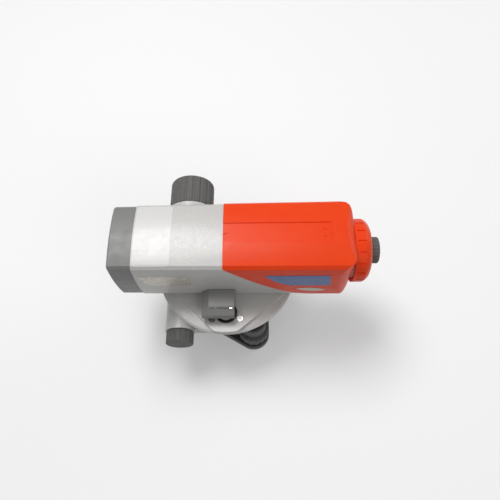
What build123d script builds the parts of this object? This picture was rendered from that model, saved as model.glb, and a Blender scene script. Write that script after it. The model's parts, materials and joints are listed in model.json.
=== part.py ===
from build123d import *
import os
from math import acos, atan, atan2, copysign, cos, pi, radians, sin, sqrt, tan

# An automatic level for surveying, with its levelling base.
# Millimetres. +Z is up along the vertical axis, +X points to the eyepiece, and the origin
# is the mouth of the tripod thread, in the underside of the base plate.

# Stations along the line of sight, from the objective to the eyepiece
HOOD_FRONT_X = -88.4
HOOD_SEAM_X = -69.7
COVER_SEAM_X = 0.3
COVER_REAR_X = 103.8
CAP_REAR_X = 118.5
EYEPIECE_REAR_X = 126.6
SIGHT_Z = 106.0

# Cross-section of the telescope body
CROWN_Z = 139.4
SHOULDER_Z = 136.4
SIDE_BULGE_Z = 110.0
BELLY_Z = 75.0
FRONT_HALF_WIDTH = 29.9
REAR_HALF_WIDTH = 31.3
SHOULDER_INSET = 3.5
BEVEL_OUT = 2.2
BEVEL_DROP = 2.4
BELLY_INSET = 4.0
BELLY_CORNER_R = 11.0
BODY_WALL = 3.0
COVER_STEP = 0.5
COVER_WALL = 2.2
CHANNEL_Z = 138.9
CHANNEL_END_X = 85.0
CHANNEL_HALF_Y = 8.5
HOOD_STEP = 0.7
HOOD_WALL = 2.6
HOOD_MOUTH_R = 23.4
REAR_CORNER_R = 15.0
REAR_END_R = 9.0
SEAM_SHOULDER_Z = 134.5
SEAM_LOW_Z = 81.0
SEAM_KNEE = (48.0, 92.6)
SEAM_BEND = (61.0, 85.2)
SEAM_FLAT = (76.0, 81.9)
SEAM_END_RUN = 13.8
SEAM_END_RISE = 11.0
SEAM_GAP = 0.3

# Clearances
RUNNING = 0.05
SLIDING = 0.05
LOOSE = 0.3
SEATED = 0.05

# Levelling base
BASE_T = 6.0
BASE_CORNER_R = 15.0
FOOT_CIRCLE_R = 46.0
HUB_R = 17.0
HUB_TOP_Z = 11.8
TRIPOD_THREAD_R = 7.94
BALL_R = 5.0
BALL_Z = 9.0
BALL_BORE_R = 2.8
BALL_PAD_R = 8.5
BALL_PAD_Z = 8.0
SPRING_PLATE_T = 0.8
SPRING_HOLE_R = 4.6
PLATE_SCREW_CIRCLE_R = 12.6
PLATE_SCREW_R = 1.5
PLATE_SCREW_HEAD_R = 2.7
PLATE_SCREW_HEAD_T = 1.6
PLATE_SCREW_L = 5.0
FOOT_SCREW_R = 3.5
FOOT_SPIGOT_R = 2.5
FOOT_SCREW_TRAVEL = 2.5
FOOT_KNOB_R = 14.5
FOOT_KNOB_Z = 14.6
FOOT_KNOB_T = 11.0
FOOT_KNOB_FLUTES = 16
FOOT_ANGLES = {"a": 180.0, "b": -60.0, "c": 60.0}

# Tribrach, horizontal circle and vertical axis
TRIBRACH_Z = 29.0
TRIBRACH_TOP_Z = 43.0
TRIBRACH_ARM_R = 11.5
TRIBRACH_DISC_R = 48.0
TRIBRACH_DISC_T = 4.5
TRIBRACH_WALL = 4.0
COLLAR_R = 39.7
COLLAR_TOP_Z = 51.0
FOOT_BUSH_R = 5.5
FOOT_BUSH_TOP_Z = 40.5
CIRCLE_R = 53.0
CIRCLE_Z = 43.3
CIRCLE_TOP_Z = 50.0
AXIS_R = 11.0
AXIS_FOOT_Z = 33.0
AXIS_SHOULDER_Z = 61.0
AXIS_TOP_R = 9.0
AXIS_THREAD_R = 6.0
AXIS_BUSH_R = 13.0
AXIS_BUSH_TOP_Z = 68.6
AXIS_NUT_R = 11.0
AXIS_NUT_T = 4.0
AXIS_END_Z = 74.0
CLUTCH_WASHER_T = 0.5
CLUTCH_WASHER_R = 17.5

# Endless horizontal drive: a worm in the level turns it about a wheel on the axis
DRIVE_MODULE = 1.2
WHEEL_TEETH = 60
WORM_PITCH_R = 5.0
WHEEL_T = 5.0
DRIVE_Z = 58.0
TOOTH_BACKLASH = 0.30
FLANK_DEG = 20.0
WORM_TURNS = 4.5
TANGENT_SHAFT_R = 3.0
TANGENT_BUSH_R = 6.6
TANGENT_BUSH_L = 8.0
TANGENT_BOSS_R = 13.0
TANGENT_BOSS_END_Y = 54.0
TANGENT_WEB_HALF_Z = 5.0
TANGENT_WEB_INSET = 0.8
TANGENT_KNOB_R = 11.9
TANGENT_KNOB_END_Y = 65.0
TANGENT_KNOB_FLUTES = 14

# Lower housing with its round flange
SKIRT_Z = 50.6
SKIRT_R = 54.5
SKIRT_TOP_R = 56.5
SKIRT_TOP_Z = 66.5
FLANGE_R = 60.5
FLANGE_Z = 76.0
FLANGE_RIM_Z = 72.8
FLANGE_UNDER_Z = 69.5
SKIRT_WALL = 4.0
WEB_Z = 61.6
POCKET_TOP_Z = 72.0
PAD_TOP_Z = 76.9
PAD_R = 18.8
PAD_RIM = 0.4
PAD_EDGE_OUT = 1.0
PAD_TIP_R = 0.5
PAD_FRONT_INSET = 11.1
PAD_REAR_INSET = 4.6
NUT_WELL_R = 14.0

# Index window of the horizontal circle
WINDOW_W = 14.0
WINDOW_H = 11.0
WINDOW_T = 2.4
WINDOW_LIFT = 0.8
CIRCLE_GAP = 0.6

# Circular level
VIAL_Y = -43.0
VIAL_R = 7.0
VIAL_HOLDER_R = 9.3
VIAL_HOLDER_Z = 67.5
VIAL_HOLDER_TOP_Z = 77.0
VIAL_TOP_Z = 76.6
VIAL_SCREW_OUT = 13.2
VIAL_SCREW_ANGLES = (90.0, 205.0, 335.0)
VIAL_SCREW_R = 1.4
VIAL_SCREW_HEAD_R = 2.6
VIAL_SCREW_HEAD_T = 1.5
VIAL_SCREW_RECESS = 0.45
VIAL_SOCKET_R = 1.2
VIAL_LOBE_R = 3.2
VIAL_LOBE_Z = 69.0
VIAL_LOBE_T = 2.2
MIRROR_X0 = -20.5
MIRROR_TOP_X0 = -13.7
MIRROR_X1 = 8.6
MIRROR_FOOT_Z = 82.0
MIRROR_TOP_Z = 97.0
MIRROR_FRONT_Y = -50.5
MIRROR_WINDOW_Y = -40.0
MIRROR_WINDOW_HALF = 5.5
MIRROR_WALL = 1.8
MIRROR_FRONT_WALL = 4.6
MIRROR_SLOPE_DROP = 9.0
MIRROR_TAPER = 2.5
MIRROR_PANE_T = 0.9
MIRROR_GLASS_T = 2.0
MIRROR_GLASS_W = 11.0
HALF_BODY = 24.0

# Objective and focusing
OBJECTIVE_R = 21.5
OBJECTIVE_CELL_R = 24.4
OBJECTIVE_CELL_X = -80.0
FRONT_WALL_X = -63.7
INNER_WALL_T = 4.0
OBJECTIVE_SEAT_L = 4.0
FOCUS_TUBE_R = 19.0
FOCUS_TUBE_BORE_R = 17.2
FOCUS_CELL_L = 12.0
FOCUS_LENS_R = 13.5
FOCUS_X = -29.0
FOCUS_Z = 110.0
RACK_MODULE = 0.6
PINION_TEETH = 12
FOCUS_TRAVEL = 11.0
RACK_Y = 19.6
RACK_W = 5.0
RACK_HALF_L = 13.6
RACK_ADDENDUM = 0.4
RACK_DEDENDUM = 1.0
RACK_BACKLASH = 0.12
PINION_ADDENDUM = 0.75
ARM_Z = 102.8
ARM_T = 2.6
FOCUS_SHAFT_R = 2.5
FOCUS_BUSH_R = 6.0
FOCUS_BOSS_R = 19.7
FOCUS_BOSS_END_Y = 35.4
FOCUS_KNOB_R = 18.6
FOCUS_KNOB_Y = 36.4
FOCUS_KNOB_END_Y = 62.5
FOCUS_KNOB_FLUTES = 18

# Compensator
SWING_X = 29.0
SWING_Z = 127.0
FRAME_X0 = 8.0
FRAME_X1 = 50.0
FRAME_HALF_Y = 20.0
FRAME_FOOT_HALF_Y = 15.0
FRAME_T = 3.0
LIGHT_R = 12.0
LEDGE_Z = 94.5
LEDGE_T = 3.0
LEDGE_W = 6.0
FIXED_PRISM_L = 11.0
FIXED_PRISM_TOP_L = 4.0
BRIDGE_RISE = 1.0
BRIDGE_SLOT_W = 10.0
BRIDGE_SLOT_INSET = 8.0
BAR_T = 3.0
BAR_HALF_X = 2.5
TAPE_L = 2.0
TAPE_T = 0.4
TAPE_W = 3.0
TAPE_SPREAD_X = 3.2
TAPE_SPREAD_Y = 24.0
TRAY_Z = 84.5
TRAY_HALF_X = 7.0
PENDULUM_HALF_Y = 16.0
PENDULUM_T = 2.0
SWUNG_PRISM_T = 5.0
DAMPER_HALF_X = 10.0
DAMPER_HALF_Y = 13.0
DAMPER_T = 0.8
DAMPER_GAP = 0.5
MAGNET_R = 5.0

# Reticle and eyepiece
REAR_WALL_X = 92.0
REAR_WALL_T = 5.0
REAR_WALL_R = 24.5
REAR_WEB_INSET = 9.0
REAR_WEB_T = 2.0
EYE_FLANGE_R = 19.4
COLLAR_END_X = 108.0
CAP_THREAD_R = 22.6
EYE_MOUNT_R = 14.0
EYE_BORE_R = 9.0
EYE_MOUNT_END_X = 112.0
RETICLE_ROOM_R = 10.4
RETICLE_SCREW_R = 1.0
RETICLE_R = 6.4
BARREL_X = 106.4
EYEPIECE_KNOB_X = 116.4
CAP_SHOULDER_X = 112.5
RETICLE_X = 101.0
RETICLE_CELL_R = 8.4
CAP_R = 26.2
CAP_WALL = 2.6
CAP_NOTCHES = 18
CAP_NOTCH_W = 1.3
CAP_NOTCH_DEEP = 0.8
CAP_NOTCH_L = 6.8
CAP_LIP = 1.8
EYEPIECE_KNOB_R = 11.0
EYEPIECE_FLUTES = 22

SIGHT_AXIS = Axis((0, 0, SIGHT_Z), (1, 0, 0))
SEAM_TOP_Z = CROWN_Z + 2.0
FLOOR_Z = BELLY_Z + BODY_WALL
WHEEL_PITCH_R = DRIVE_MODULE * WHEEL_TEETH / 2
WORM_X = -(WHEEL_PITCH_R + WORM_PITCH_R)
WORM_LEAD = pi * DRIVE_MODULE
PINION_R = RACK_MODULE * PINION_TEETH / 2
PITCH_LINE_Z = FOCUS_Z - PINION_R


def along(x, z=SIGHT_Z):
    """Plane across the line of sight at station x: local x is +Y, local y is +Z."""
    return Plane(origin=(x, 0, z), x_dir=(0, 1, 0), z_dir=(1, 0, 0))


def across(x, y, z):
    """Plane facing +Y: local x is +X, local y is -Z."""
    return Plane(origin=(x, y, z), x_dir=(1, 0, 0), z_dir=(0, 1, 0))


def level(z):
    """Horizontal plane at height z."""
    return Plane.XY.offset(z)


def ring(plane, outer_r, inner_r=0.0):
    """Disc, or ring, drawn on a plane."""
    with BuildSketch(plane) as face:
        Circle(outer_r)
        if inner_r:
            Circle(inner_r, mode=Mode.SUBTRACT)
    return face.sketch


def half_width(x):
    """Half width of the telescope body at station x, which widens a little to the rear."""
    share = (x - HOOD_SEAM_X) / (COVER_REAR_X - HOOD_SEAM_X)
    return FRONT_HALF_WIDTH + share * (REAR_HALF_WIDTH - FRONT_HALF_WIDTH)


def tube_section(x, grow=0.0):
    """Cross-section of the telescope: crowned top, bevelled shoulders, bulging sides."""
    side = half_width(x)
    top = side - SHOULDER_INSET
    bevel = (top + BEVEL_OUT, SHOULDER_Z - BEVEL_DROP)
    foot = side - BELLY_INSET
    with BuildSketch(along(x, 0)) as section:
        with BuildLine():
            ThreePointArc((-top, SHOULDER_Z), (0, CROWN_Z), (top, SHOULDER_Z))
            Line((top, SHOULDER_Z), bevel)
            ThreePointArc(bevel, (side, SIDE_BULGE_Z), (foot, BELLY_Z))
            Line((foot, BELLY_Z), (-foot, BELLY_Z))
            ThreePointArc((-foot, BELLY_Z), (-side, SIDE_BULGE_Z), (-bevel[0], bevel[1]))
            Line((-bevel[0], bevel[1]), (-top, SHOULDER_Z))
        make_face()
        fillet(section.vertices().group_by(Axis.Y)[0], radius=BELLY_CORNER_R)
        if grow:
            offset(amount=grow, kind=Kind.INTERSECTION)
    return section.sketch


def fluted(radius, flutes, depth, plane, length, edge_r=0.8):
    """Grip of a knob: a disc with rounded flutes round its rim, and eased end edges."""
    with BuildPart() as grip:
        with BuildSketch(plane):
            Circle(radius)
        extrude(amount=length)
        fillet(grip.edges().filter_by(GeomType.CIRCLE), radius=edge_r)
        with BuildSketch(plane):
            with PolarLocations(radius + depth, flutes):
                Circle(2 * depth)
        extrude(amount=length, mode=Mode.SUBTRACT)
    return grip.part


def foot_places(radius=FOOT_CIRCLE_R):
    """Centres of the three foot screws."""
    return [
        (radius * cos(radians(angle)), radius * sin(radians(angle)))
        for angle in FOOT_ANGLES.values()
    ]


def save(piece, name):
    """Label a finished piece and write it."""
    piece.part.label = name
    export_step(piece.part, f"parts/{name}.step")


def make_base_plate():
    """Three-cornered base plate with ball cups, a threaded hub and three pockets."""
    with BuildPart() as base_plate:
        with BuildSketch(level(0)):
            with Locations(*foot_places()):
                Circle(BASE_CORNER_R)
            make_hull()
        extrude(amount=BASE_T)
        chamfer(base_plate.faces().sort_by(Axis.Z)[-1].edges(), length=1.0)
        extrude(ring(level(0), HUB_R), amount=HUB_TOP_Z)
        for x, y in foot_places():
            with BuildSketch(Plane(origin=(x, y, 0))):
                Circle(BALL_PAD_R)
            extrude(amount=BALL_PAD_Z)
        for x, y in foot_places():
            with Locations((x, y, BALL_Z)):
                Sphere(BALL_R + LOOSE, mode=Mode.SUBTRACT)
        with BuildSketch(level(BASE_T)):
            with PolarLocations(29.0, 3, start_angle=0):
                RectangleRounded(9.0, 26.0, 3.5)
        extrude(amount=-2.5, mode=Mode.SUBTRACT)
        extrude(ring(level(0), TRIPOD_THREAD_R), amount=HUB_TOP_Z, mode=Mode.SUBTRACT)
        with BuildSketch(level(HUB_TOP_Z)):
            with PolarLocations(PLATE_SCREW_CIRCLE_R, 3, start_angle=0):
                Circle(PLATE_SCREW_R)
        extrude(amount=-PLATE_SCREW_L, mode=Mode.SUBTRACT)
    save(base_plate, "base_plate")


def make_spring_plate():
    """Leaf spring that holds the three ball feet down in their cups."""
    with BuildPart() as spring_plate:
        with BuildSketch(level(HUB_TOP_Z)) as outline:
            Circle(HUB_R)
            with PolarLocations(FOOT_CIRCLE_R / 2, 3, start_angle=60):
                Rectangle(FOOT_CIRCLE_R, 11.0)
            with PolarLocations(FOOT_CIRCLE_R, 3, start_angle=60):
                Circle(BALL_PAD_R)
            Circle(TRIPOD_THREAD_R + 1.0, mode=Mode.SUBTRACT)
            with PolarLocations(FOOT_CIRCLE_R, 3, start_angle=60):
                Circle(SPRING_HOLE_R, mode=Mode.SUBTRACT)
            with PolarLocations(PLATE_SCREW_CIRCLE_R, 3, start_angle=0):
                Circle(PLATE_SCREW_R + 0.1, mode=Mode.SUBTRACT)
        extrude(amount=SPRING_PLATE_T)
    save(spring_plate, "spring_plate")


def make_spring_plate_screws():
    """Three pan-head screws that fix the spring plate to the hub."""
    plate_top = HUB_TOP_Z + SPRING_PLATE_T
    with BuildPart() as spring_plate_screws:
        with BuildSketch(level(plate_top)):
            with PolarLocations(PLATE_SCREW_CIRCLE_R, 3, start_angle=0):
                Circle(PLATE_SCREW_HEAD_R)
        extrude(amount=PLATE_SCREW_HEAD_T)
        with BuildSketch(level(plate_top)):
            with PolarLocations(PLATE_SCREW_CIRCLE_R, 3, start_angle=0):
                Circle(PLATE_SCREW_R - SEATED)
        extrude(amount=-PLATE_SCREW_L)
    save(spring_plate_screws, "spring_plate_screws")


def make_foot(letter, angle):
    """Ball foot, threaded screw and fluted knob of one levelling screw."""
    x, y = FOOT_CIRCLE_R * cos(radians(angle)), FOOT_CIRCLE_R * sin(radians(angle))
    with BuildPart() as ball:
        with Locations((x, y, BALL_Z)):
            Sphere(BALL_R)
        with BuildSketch(Plane(origin=(x, y, BALL_Z - BALL_R / 2))):
            Circle(BALL_BORE_R)
        extrude(amount=2 * BALL_R, mode=Mode.SUBTRACT)
    save(ball, f"foot_ball_{letter}")

    with BuildPart() as screw:
        with BuildSketch(Plane(origin=(x, y, FOOT_KNOB_Z))):
            Circle(FOOT_SCREW_R)
        extrude(amount=FOOT_BUSH_TOP_Z - LOOSE - FOOT_SCREW_TRAVEL - FOOT_KNOB_Z)
        with BuildSketch(Plane(origin=(x, y, BALL_Z - BALL_R / 2 + LOOSE))):
            Circle(FOOT_SPIGOT_R)
        extrude(until=Until.NEXT)
        chamfer(screw.faces().sort_by(Axis.Z)[-1].edges(), length=0.6)
    save(screw, f"foot_screw_{letter}")

    with BuildPart() as knob:
        add(fluted(FOOT_KNOB_R, FOOT_KNOB_FLUTES, 0.8,
                   Plane(origin=(x, y, FOOT_KNOB_Z)), FOOT_KNOB_T))
        with BuildSketch(Plane(origin=(x, y, FOOT_KNOB_Z))):
            Circle(FOOT_SCREW_R)
        extrude(amount=FOOT_KNOB_T, mode=Mode.SUBTRACT)
    save(knob, f"foot_knob_{letter}")


def make_tribrach():
    """Three-armed upper plate: screw bosses, collar for the circle, bore for the axis."""
    with BuildPart() as tribrach:
        with BuildSketch(level(TRIBRACH_Z)):
            with Locations(*foot_places()):
                Circle(TRIBRACH_ARM_R)
            make_hull()
        extrude(amount=TRIBRACH_TOP_Z - TRIBRACH_Z)
        fillet(tribrach.faces().sort_by(Axis.Z)[-1].edges(), radius=2.0)
        extrude(ring(level(TRIBRACH_TOP_Z), TRIBRACH_DISC_R), amount=-TRIBRACH_DISC_T)
        with BuildSketch(level(TRIBRACH_Z)):
            Circle(FOOT_CIRCLE_R / 2 + TRIBRACH_ARM_R - TRIBRACH_WALL)
            Circle(AXIS_R + TRIBRACH_WALL, mode=Mode.SUBTRACT)
            with Locations(*foot_places()):
                Circle(TRIBRACH_ARM_R, mode=Mode.SUBTRACT)
        extrude(amount=TRIBRACH_TOP_Z - TRIBRACH_DISC_T - TRIBRACH_Z, mode=Mode.SUBTRACT)
        extrude(ring(level(TRIBRACH_TOP_Z), COLLAR_R), amount=COLLAR_TOP_Z - TRIBRACH_TOP_Z)
        extrude(ring(level(COLLAR_TOP_Z), COLLAR_R - 4.0, AXIS_R + 10.0),
                amount=-6.0, mode=Mode.SUBTRACT)
        extrude(ring(level(AXIS_FOOT_Z), AXIS_R), amount=COLLAR_TOP_Z - AXIS_FOOT_Z,
                mode=Mode.SUBTRACT)
        with BuildSketch(level(TRIBRACH_Z)):
            with Locations(*foot_places()):
                Circle(FOOT_BUSH_R)
        extrude(amount=FOOT_BUSH_TOP_Z - TRIBRACH_Z, mode=Mode.SUBTRACT)
    save(tribrach, "tribrach")


def make_foot_bushes():
    """Threaded brass bushes in the tribrach's three arms."""
    with BuildPart() as bushes:
        with BuildSketch(level(TRIBRACH_Z)):
            with Locations(*foot_places()):
                Circle(FOOT_BUSH_R)
            with Locations(*foot_places()):
                Circle(FOOT_SCREW_R + RUNNING, mode=Mode.SUBTRACT)
        extrude(amount=FOOT_BUSH_TOP_Z - TRIBRACH_Z)
    save(bushes, "foot_screw_bushes")


def make_vertical_axis():
    """Steel centre of the tribrach: post, shoulder, journal and threaded end."""
    with BuildPart() as axis_post:
        with BuildSketch(Plane.XZ):
            Polygon(
                (0, AXIS_FOOT_Z), (AXIS_R, AXIS_FOOT_Z), (AXIS_R, AXIS_SHOULDER_Z),
                (AXIS_TOP_R, AXIS_SHOULDER_Z), (AXIS_TOP_R, AXIS_BUSH_TOP_Z + RUNNING),
                (AXIS_THREAD_R, AXIS_BUSH_TOP_Z + RUNNING), (AXIS_THREAD_R, AXIS_END_Z),
                (0, AXIS_END_Z), align=None,
            )
        revolve(axis=Axis.Z)
    save(axis_post, "vertical_axis")

    with BuildPart() as nut:
        with BuildSketch(level(AXIS_BUSH_TOP_Z + RUNNING)):
            Circle(AXIS_NUT_R)
            Circle(AXIS_THREAD_R, mode=Mode.SUBTRACT)
            with PolarLocations(AXIS_NUT_R, 4):
                Rectangle(3.0, 2.5, mode=Mode.SUBTRACT)
        extrude(amount=AXIS_NUT_T)
    save(nut, "axis_nut")

    with BuildPart() as washer:
        extrude(ring(level(COLLAR_TOP_Z), CLUTCH_WASHER_R, AXIS_R + 0.2), amount=CLUTCH_WASHER_T)
    save(washer, "clutch_washer")


def make_circle_ring():
    """Horizontal circle: a ring that turns by hand on the tribrach's collar."""
    with BuildPart() as circle_ring:
        with BuildSketch(Plane.XZ):
            Polygon(
                (COLLAR_R + LOOSE, CIRCLE_Z), (CIRCLE_R - 1.5, CIRCLE_Z),
                (CIRCLE_R, CIRCLE_Z + 1.5), (CIRCLE_R, CIRCLE_TOP_Z),
                (COLLAR_R + LOOSE, CIRCLE_TOP_Z), align=None,
            )
        revolve(axis=Axis.Z)
    save(circle_ring, "circle_ring")


def make_worm_wheel():
    """Worm wheel that grips the axis by friction, its teeth gashed at the lead angle."""
    addendum = DRIVE_MODULE
    dedendum = 1.25 * DRIVE_MODULE
    tip_r = WHEEL_PITCH_R + addendum
    hub_z = COLLAR_TOP_Z + CLUTCH_WASHER_T + RUNNING
    wheel_z = DRIVE_Z - WHEEL_T / 2
    # The gap between two teeth opens outwards by the flank angle and half a tooth's turn
    flare = sin(radians(FLANK_DEG + 90 / WHEEL_TEETH)) / cos(radians(FLANK_DEG + 90 / WHEEL_TEETH))
    gap = pi * DRIVE_MODULE / 4 + TOOTH_BACKLASH / 2
    out = addendum + 0.5
    lead_angle = atan(WORM_LEAD / (2 * pi * WORM_PITCH_R))
    gash = Plane(
        origin=(-WHEEL_PITCH_R, 0, DRIVE_Z),
        x_dir=(-1, 0, 0),
        z_dir=(0, -sin(lead_angle), cos(lead_angle)),
    )
    with BuildPart() as cutter:
        with BuildSketch(gash):
            Polygon(
                (-dedendum, gap - dedendum * flare), (out, gap + out * flare),
                (out, -gap - out * flare), (-dedendum, -gap + dedendum * flare), align=None,
            )
        extrude(amount=WHEEL_T, both=True)
    with BuildPart() as worm_wheel:
        extrude(ring(level(wheel_z), tip_r, AXIS_R + RUNNING), amount=WHEEL_T)
        extrude(ring(level(hub_z), CLUTCH_WASHER_R, AXIS_R + RUNNING),
                amount=AXIS_SHOULDER_Z - 0.4 - hub_z)
        for z in (wheel_z, wheel_z + WHEEL_T):
            inwards = 1 if z == wheel_z else -1
            extrude(ring(level(z), WHEEL_PITCH_R - 5.0, CLUTCH_WASHER_R),
                    amount=inwards * 1.2, mode=Mode.SUBTRACT)
        with BuildSketch(level(wheel_z)):
            with PolarLocations(24.2, 6, start_angle=30):
                Circle(4.5)
        extrude(amount=WHEEL_T, mode=Mode.SUBTRACT)
        with PolarLocations(0, WHEEL_TEETH):
            add(cutter.part, mode=Mode.SUBTRACT)
    save(worm_wheel, "worm_wheel")


def make_worm_shaft():
    """Tangent screw: a single-start right-hand worm on a shaft through both bosses."""
    thread_root_r = WORM_PITCH_R - 1.25 * DRIVE_MODULE
    thread_out_r = WORM_PITCH_R + DRIVE_MODULE
    flare = sin(radians(FLANK_DEG)) / cos(radians(FLANK_DEG))
    half = pi * DRIVE_MODULE / 4 - TOOTH_BACKLASH / 2
    sunk = 0.25
    root_half = half + (WORM_PITCH_R - thread_root_r) * flare
    tip_half = half - DRIVE_MODULE * flare
    start_y = -WORM_TURNS / 2 * WORM_LEAD
    with BuildPart() as worm_shaft:
        extrude(ring(across(WORM_X, -TANGENT_KNOB_END_Y + 1.5, DRIVE_Z), TANGENT_SHAFT_R),
                amount=2 * (TANGENT_KNOB_END_Y - 1.5))
        extrude(ring(across(WORM_X, start_y - 2.0, DRIVE_Z), thread_root_r),
                amount=-2 * start_y + 4.0)
        with BuildLine():
            coil = Helix(
                pitch=WORM_LEAD, height=WORM_TURNS * WORM_LEAD, radius=thread_root_r,
                center=(WORM_X, start_y, DRIVE_Z), direction=(0, 1, 0),
            )
        outwards = coil @ 0 - Vector(WORM_X, start_y, DRIVE_Z)
        with BuildSketch(Plane(origin=coil @ 0, x_dir=outwards, z_dir=coil % 0)):
            Polygon(
                (-sunk, root_half + sunk * flare), (-sunk, -root_half - sunk * flare),
                (thread_out_r - thread_root_r, -tip_half), (thread_out_r - thread_root_r, tip_half),
                align=None,
            )
        sweep(path=coil, is_frenet=True)
    save(worm_shaft, "worm_shaft")


def make_tangent_knobs():
    """Fluted knobs on both ends of the tangent screw."""
    with BuildPart() as tangent_knobs:
        for side in (-1, 1):
            start = side * (TANGENT_BOSS_END_Y + 0.5)
            length = TANGENT_KNOB_END_Y - TANGENT_BOSS_END_Y - 0.5
            face = Plane(origin=(WORM_X, start, DRIVE_Z), x_dir=(1, 0, 0), z_dir=(0, side, 0))
            with BuildPart(mode=Mode.PRIVATE) as knob:
                add(fluted(TANGENT_KNOB_R, TANGENT_KNOB_FLUTES, 0.7, face, length))
                with BuildSketch(face):
                    Circle(TANGENT_SHAFT_R)
                extrude(amount=length - 1.5, mode=Mode.SUBTRACT)
            add(knob.part)
    save(tangent_knobs, "tangent_knobs")


def pad_outline(z):
    """Wedge-shaped pad round the circular level, running out under the telescope."""
    edge_y = -HALF_BODY - PAD_EDGE_OUT
    rim_x = sqrt(FLANGE_R ** 2 - edge_y ** 2)
    with BuildSketch(level(z)) as pad:
        with Locations((0, VIAL_Y)):
            Circle(PAD_R)
        with Locations((-rim_x + PAD_FRONT_INSET, edge_y), (rim_x - PAD_REAR_INSET, edge_y)):
            Circle(PAD_TIP_R)
        make_hull()
        Circle(FLANGE_R - PAD_RIM, mode=Mode.INTERSECT)
    return pad.sketch


def vial_screw_places():
    """Centres of the three adjusting screws round the circular level."""
    return [
        (VIAL_SCREW_OUT * cos(radians(a)), VIAL_Y + VIAL_SCREW_OUT * sin(radians(a)))
        for a in VIAL_SCREW_ANGLES
    ]


def vial_lobes(z, grow=0.0):
    """Three-lobed plate that the adjusting screws of the circular level pull up."""
    with BuildSketch(level(z)) as lobes:
        with Locations((0, VIAL_Y)):
            Circle(VIAL_HOLDER_R)
        with Locations(*vial_screw_places()):
            Circle(VIAL_LOBE_R)
        make_hull()
        if grow:
            offset(amount=grow)
    return lobes.sketch


def seam_side(lift=0.0):
    """Side view of the space above the seam, which the rear cover takes."""
    front = (COVER_SEAM_X, SEAM_SHOULDER_Z)
    low = (COVER_REAR_X - SEAM_END_RUN, SEAM_LOW_Z)
    end = (COVER_REAR_X + 2.0, SEAM_LOW_Z + SEAM_END_RISE)
    over_z = SEAM_TOP_Z + 20.0
    with BuildSketch(Plane.XZ) as side:
        with BuildLine() as edge:
            Line(front, SEAM_KNEE)
            ThreePointArc(SEAM_KNEE, SEAM_BEND, SEAM_FLAT)
            seam_run = Line(SEAM_FLAT, low)
            TangentArc(low, end, tangent=seam_run % 1)
            Polyline(end, (end[0], over_z), (front[0], over_z), front)
        make_face()
    return Location((0, 0, lift)) * side.sketch


def plan_outline(rear_x, corner_r, grow=0.0):
    """Plan of the telescope: square at the front, rounded at the rear."""
    front_x = HOOD_SEAM_X - 5.0
    with BuildSketch(level(BELLY_Z - 5.0)) as plan:
        with Locations(((front_x + rear_x) / 2, 0)):
            Rectangle(rear_x - front_x, 2 * half_width(rear_x))
        fillet(plan.vertices().group_by(Axis.X)[-1], radius=corner_r)
        if grow:
            offset(amount=grow)
    return plan.sketch


def end_outline(rear_x, top_z, corner_r):
    """Side view of the telescope, its crown rounded down into the rear end."""
    front_x = HOOD_SEAM_X - 5.0
    low_z = BELLY_Z - 5.0
    with BuildSketch(Plane.XZ) as side:
        Polygon((front_x, low_z), (rear_x, low_z), (rear_x, top_z), (front_x, top_z), align=None)
        fillet(side.vertices().group_by(Axis.X)[-1].sort_by(Axis.Y)[-1], radius=corner_r)
    return side.sketch


def tube_solid(x0, x1, grow, rear_inset=None):
    """Telescope body between two stations, its rear end rounded if an inset is given."""
    with BuildPart() as tube:
        add(tube_section(x0, grow))
        add(tube_section(x1, grow))
        loft()
        if rear_inset is not None:
            extrude(plan_outline(COVER_REAR_X, REAR_CORNER_R, -rear_inset),
                    amount=SEAM_TOP_Z - BELLY_Z + 20, mode=Mode.INTERSECT)
            extrude(end_outline(COVER_REAR_X - rear_inset, CROWN_Z + grow, REAR_END_R - rear_inset),
                    amount=2 * REAR_HALF_WIDTH, both=True, mode=Mode.INTERSECT)
    return tube.part


def skirt_profile():
    """Half section of the skirt and the round flange."""
    with BuildSketch(Plane.XZ) as profile:
        Polygon(
            (0, SKIRT_Z), (SKIRT_R, SKIRT_Z), (SKIRT_TOP_R, SKIRT_TOP_Z),
            (FLANGE_R - 0.8, FLANGE_UNDER_Z), (FLANGE_R, FLANGE_UNDER_Z + 1.2),
            (FLANGE_R, FLANGE_RIM_Z - 1.2), (FLANGE_R - 1.6, FLANGE_RIM_Z),
            (SKIRT_R / 2, FLANGE_Z), (0, FLANGE_Z), align=None,
        )
    return profile.sketch


def tangent_webs():
    """Plan of the two webs that run from the ends of the tangent bosses into the skirt."""
    corner_x = WORM_X + TANGENT_BOSS_R - TANGENT_WEB_INSET
    corner_y = TANGENT_BOSS_END_Y - TANGENT_WEB_INSET
    reach = acos(SKIRT_R / sqrt(corner_x ** 2 + corner_y ** 2))
    touch = atan2(corner_y, corner_x) - reach
    with BuildSketch(level(DRIVE_Z - TANGENT_WEB_HALF_Z)) as webs:
        for side in (-1, 1):
            Polygon(
                (WORM_X, side * SKIRT_R / 2), (WORM_X, side * corner_y),
                (corner_x, side * corner_y),
                (SKIRT_R * cos(touch), side * SKIRT_R * sin(touch)), align=None,
            )
    return webs.sketch


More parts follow.
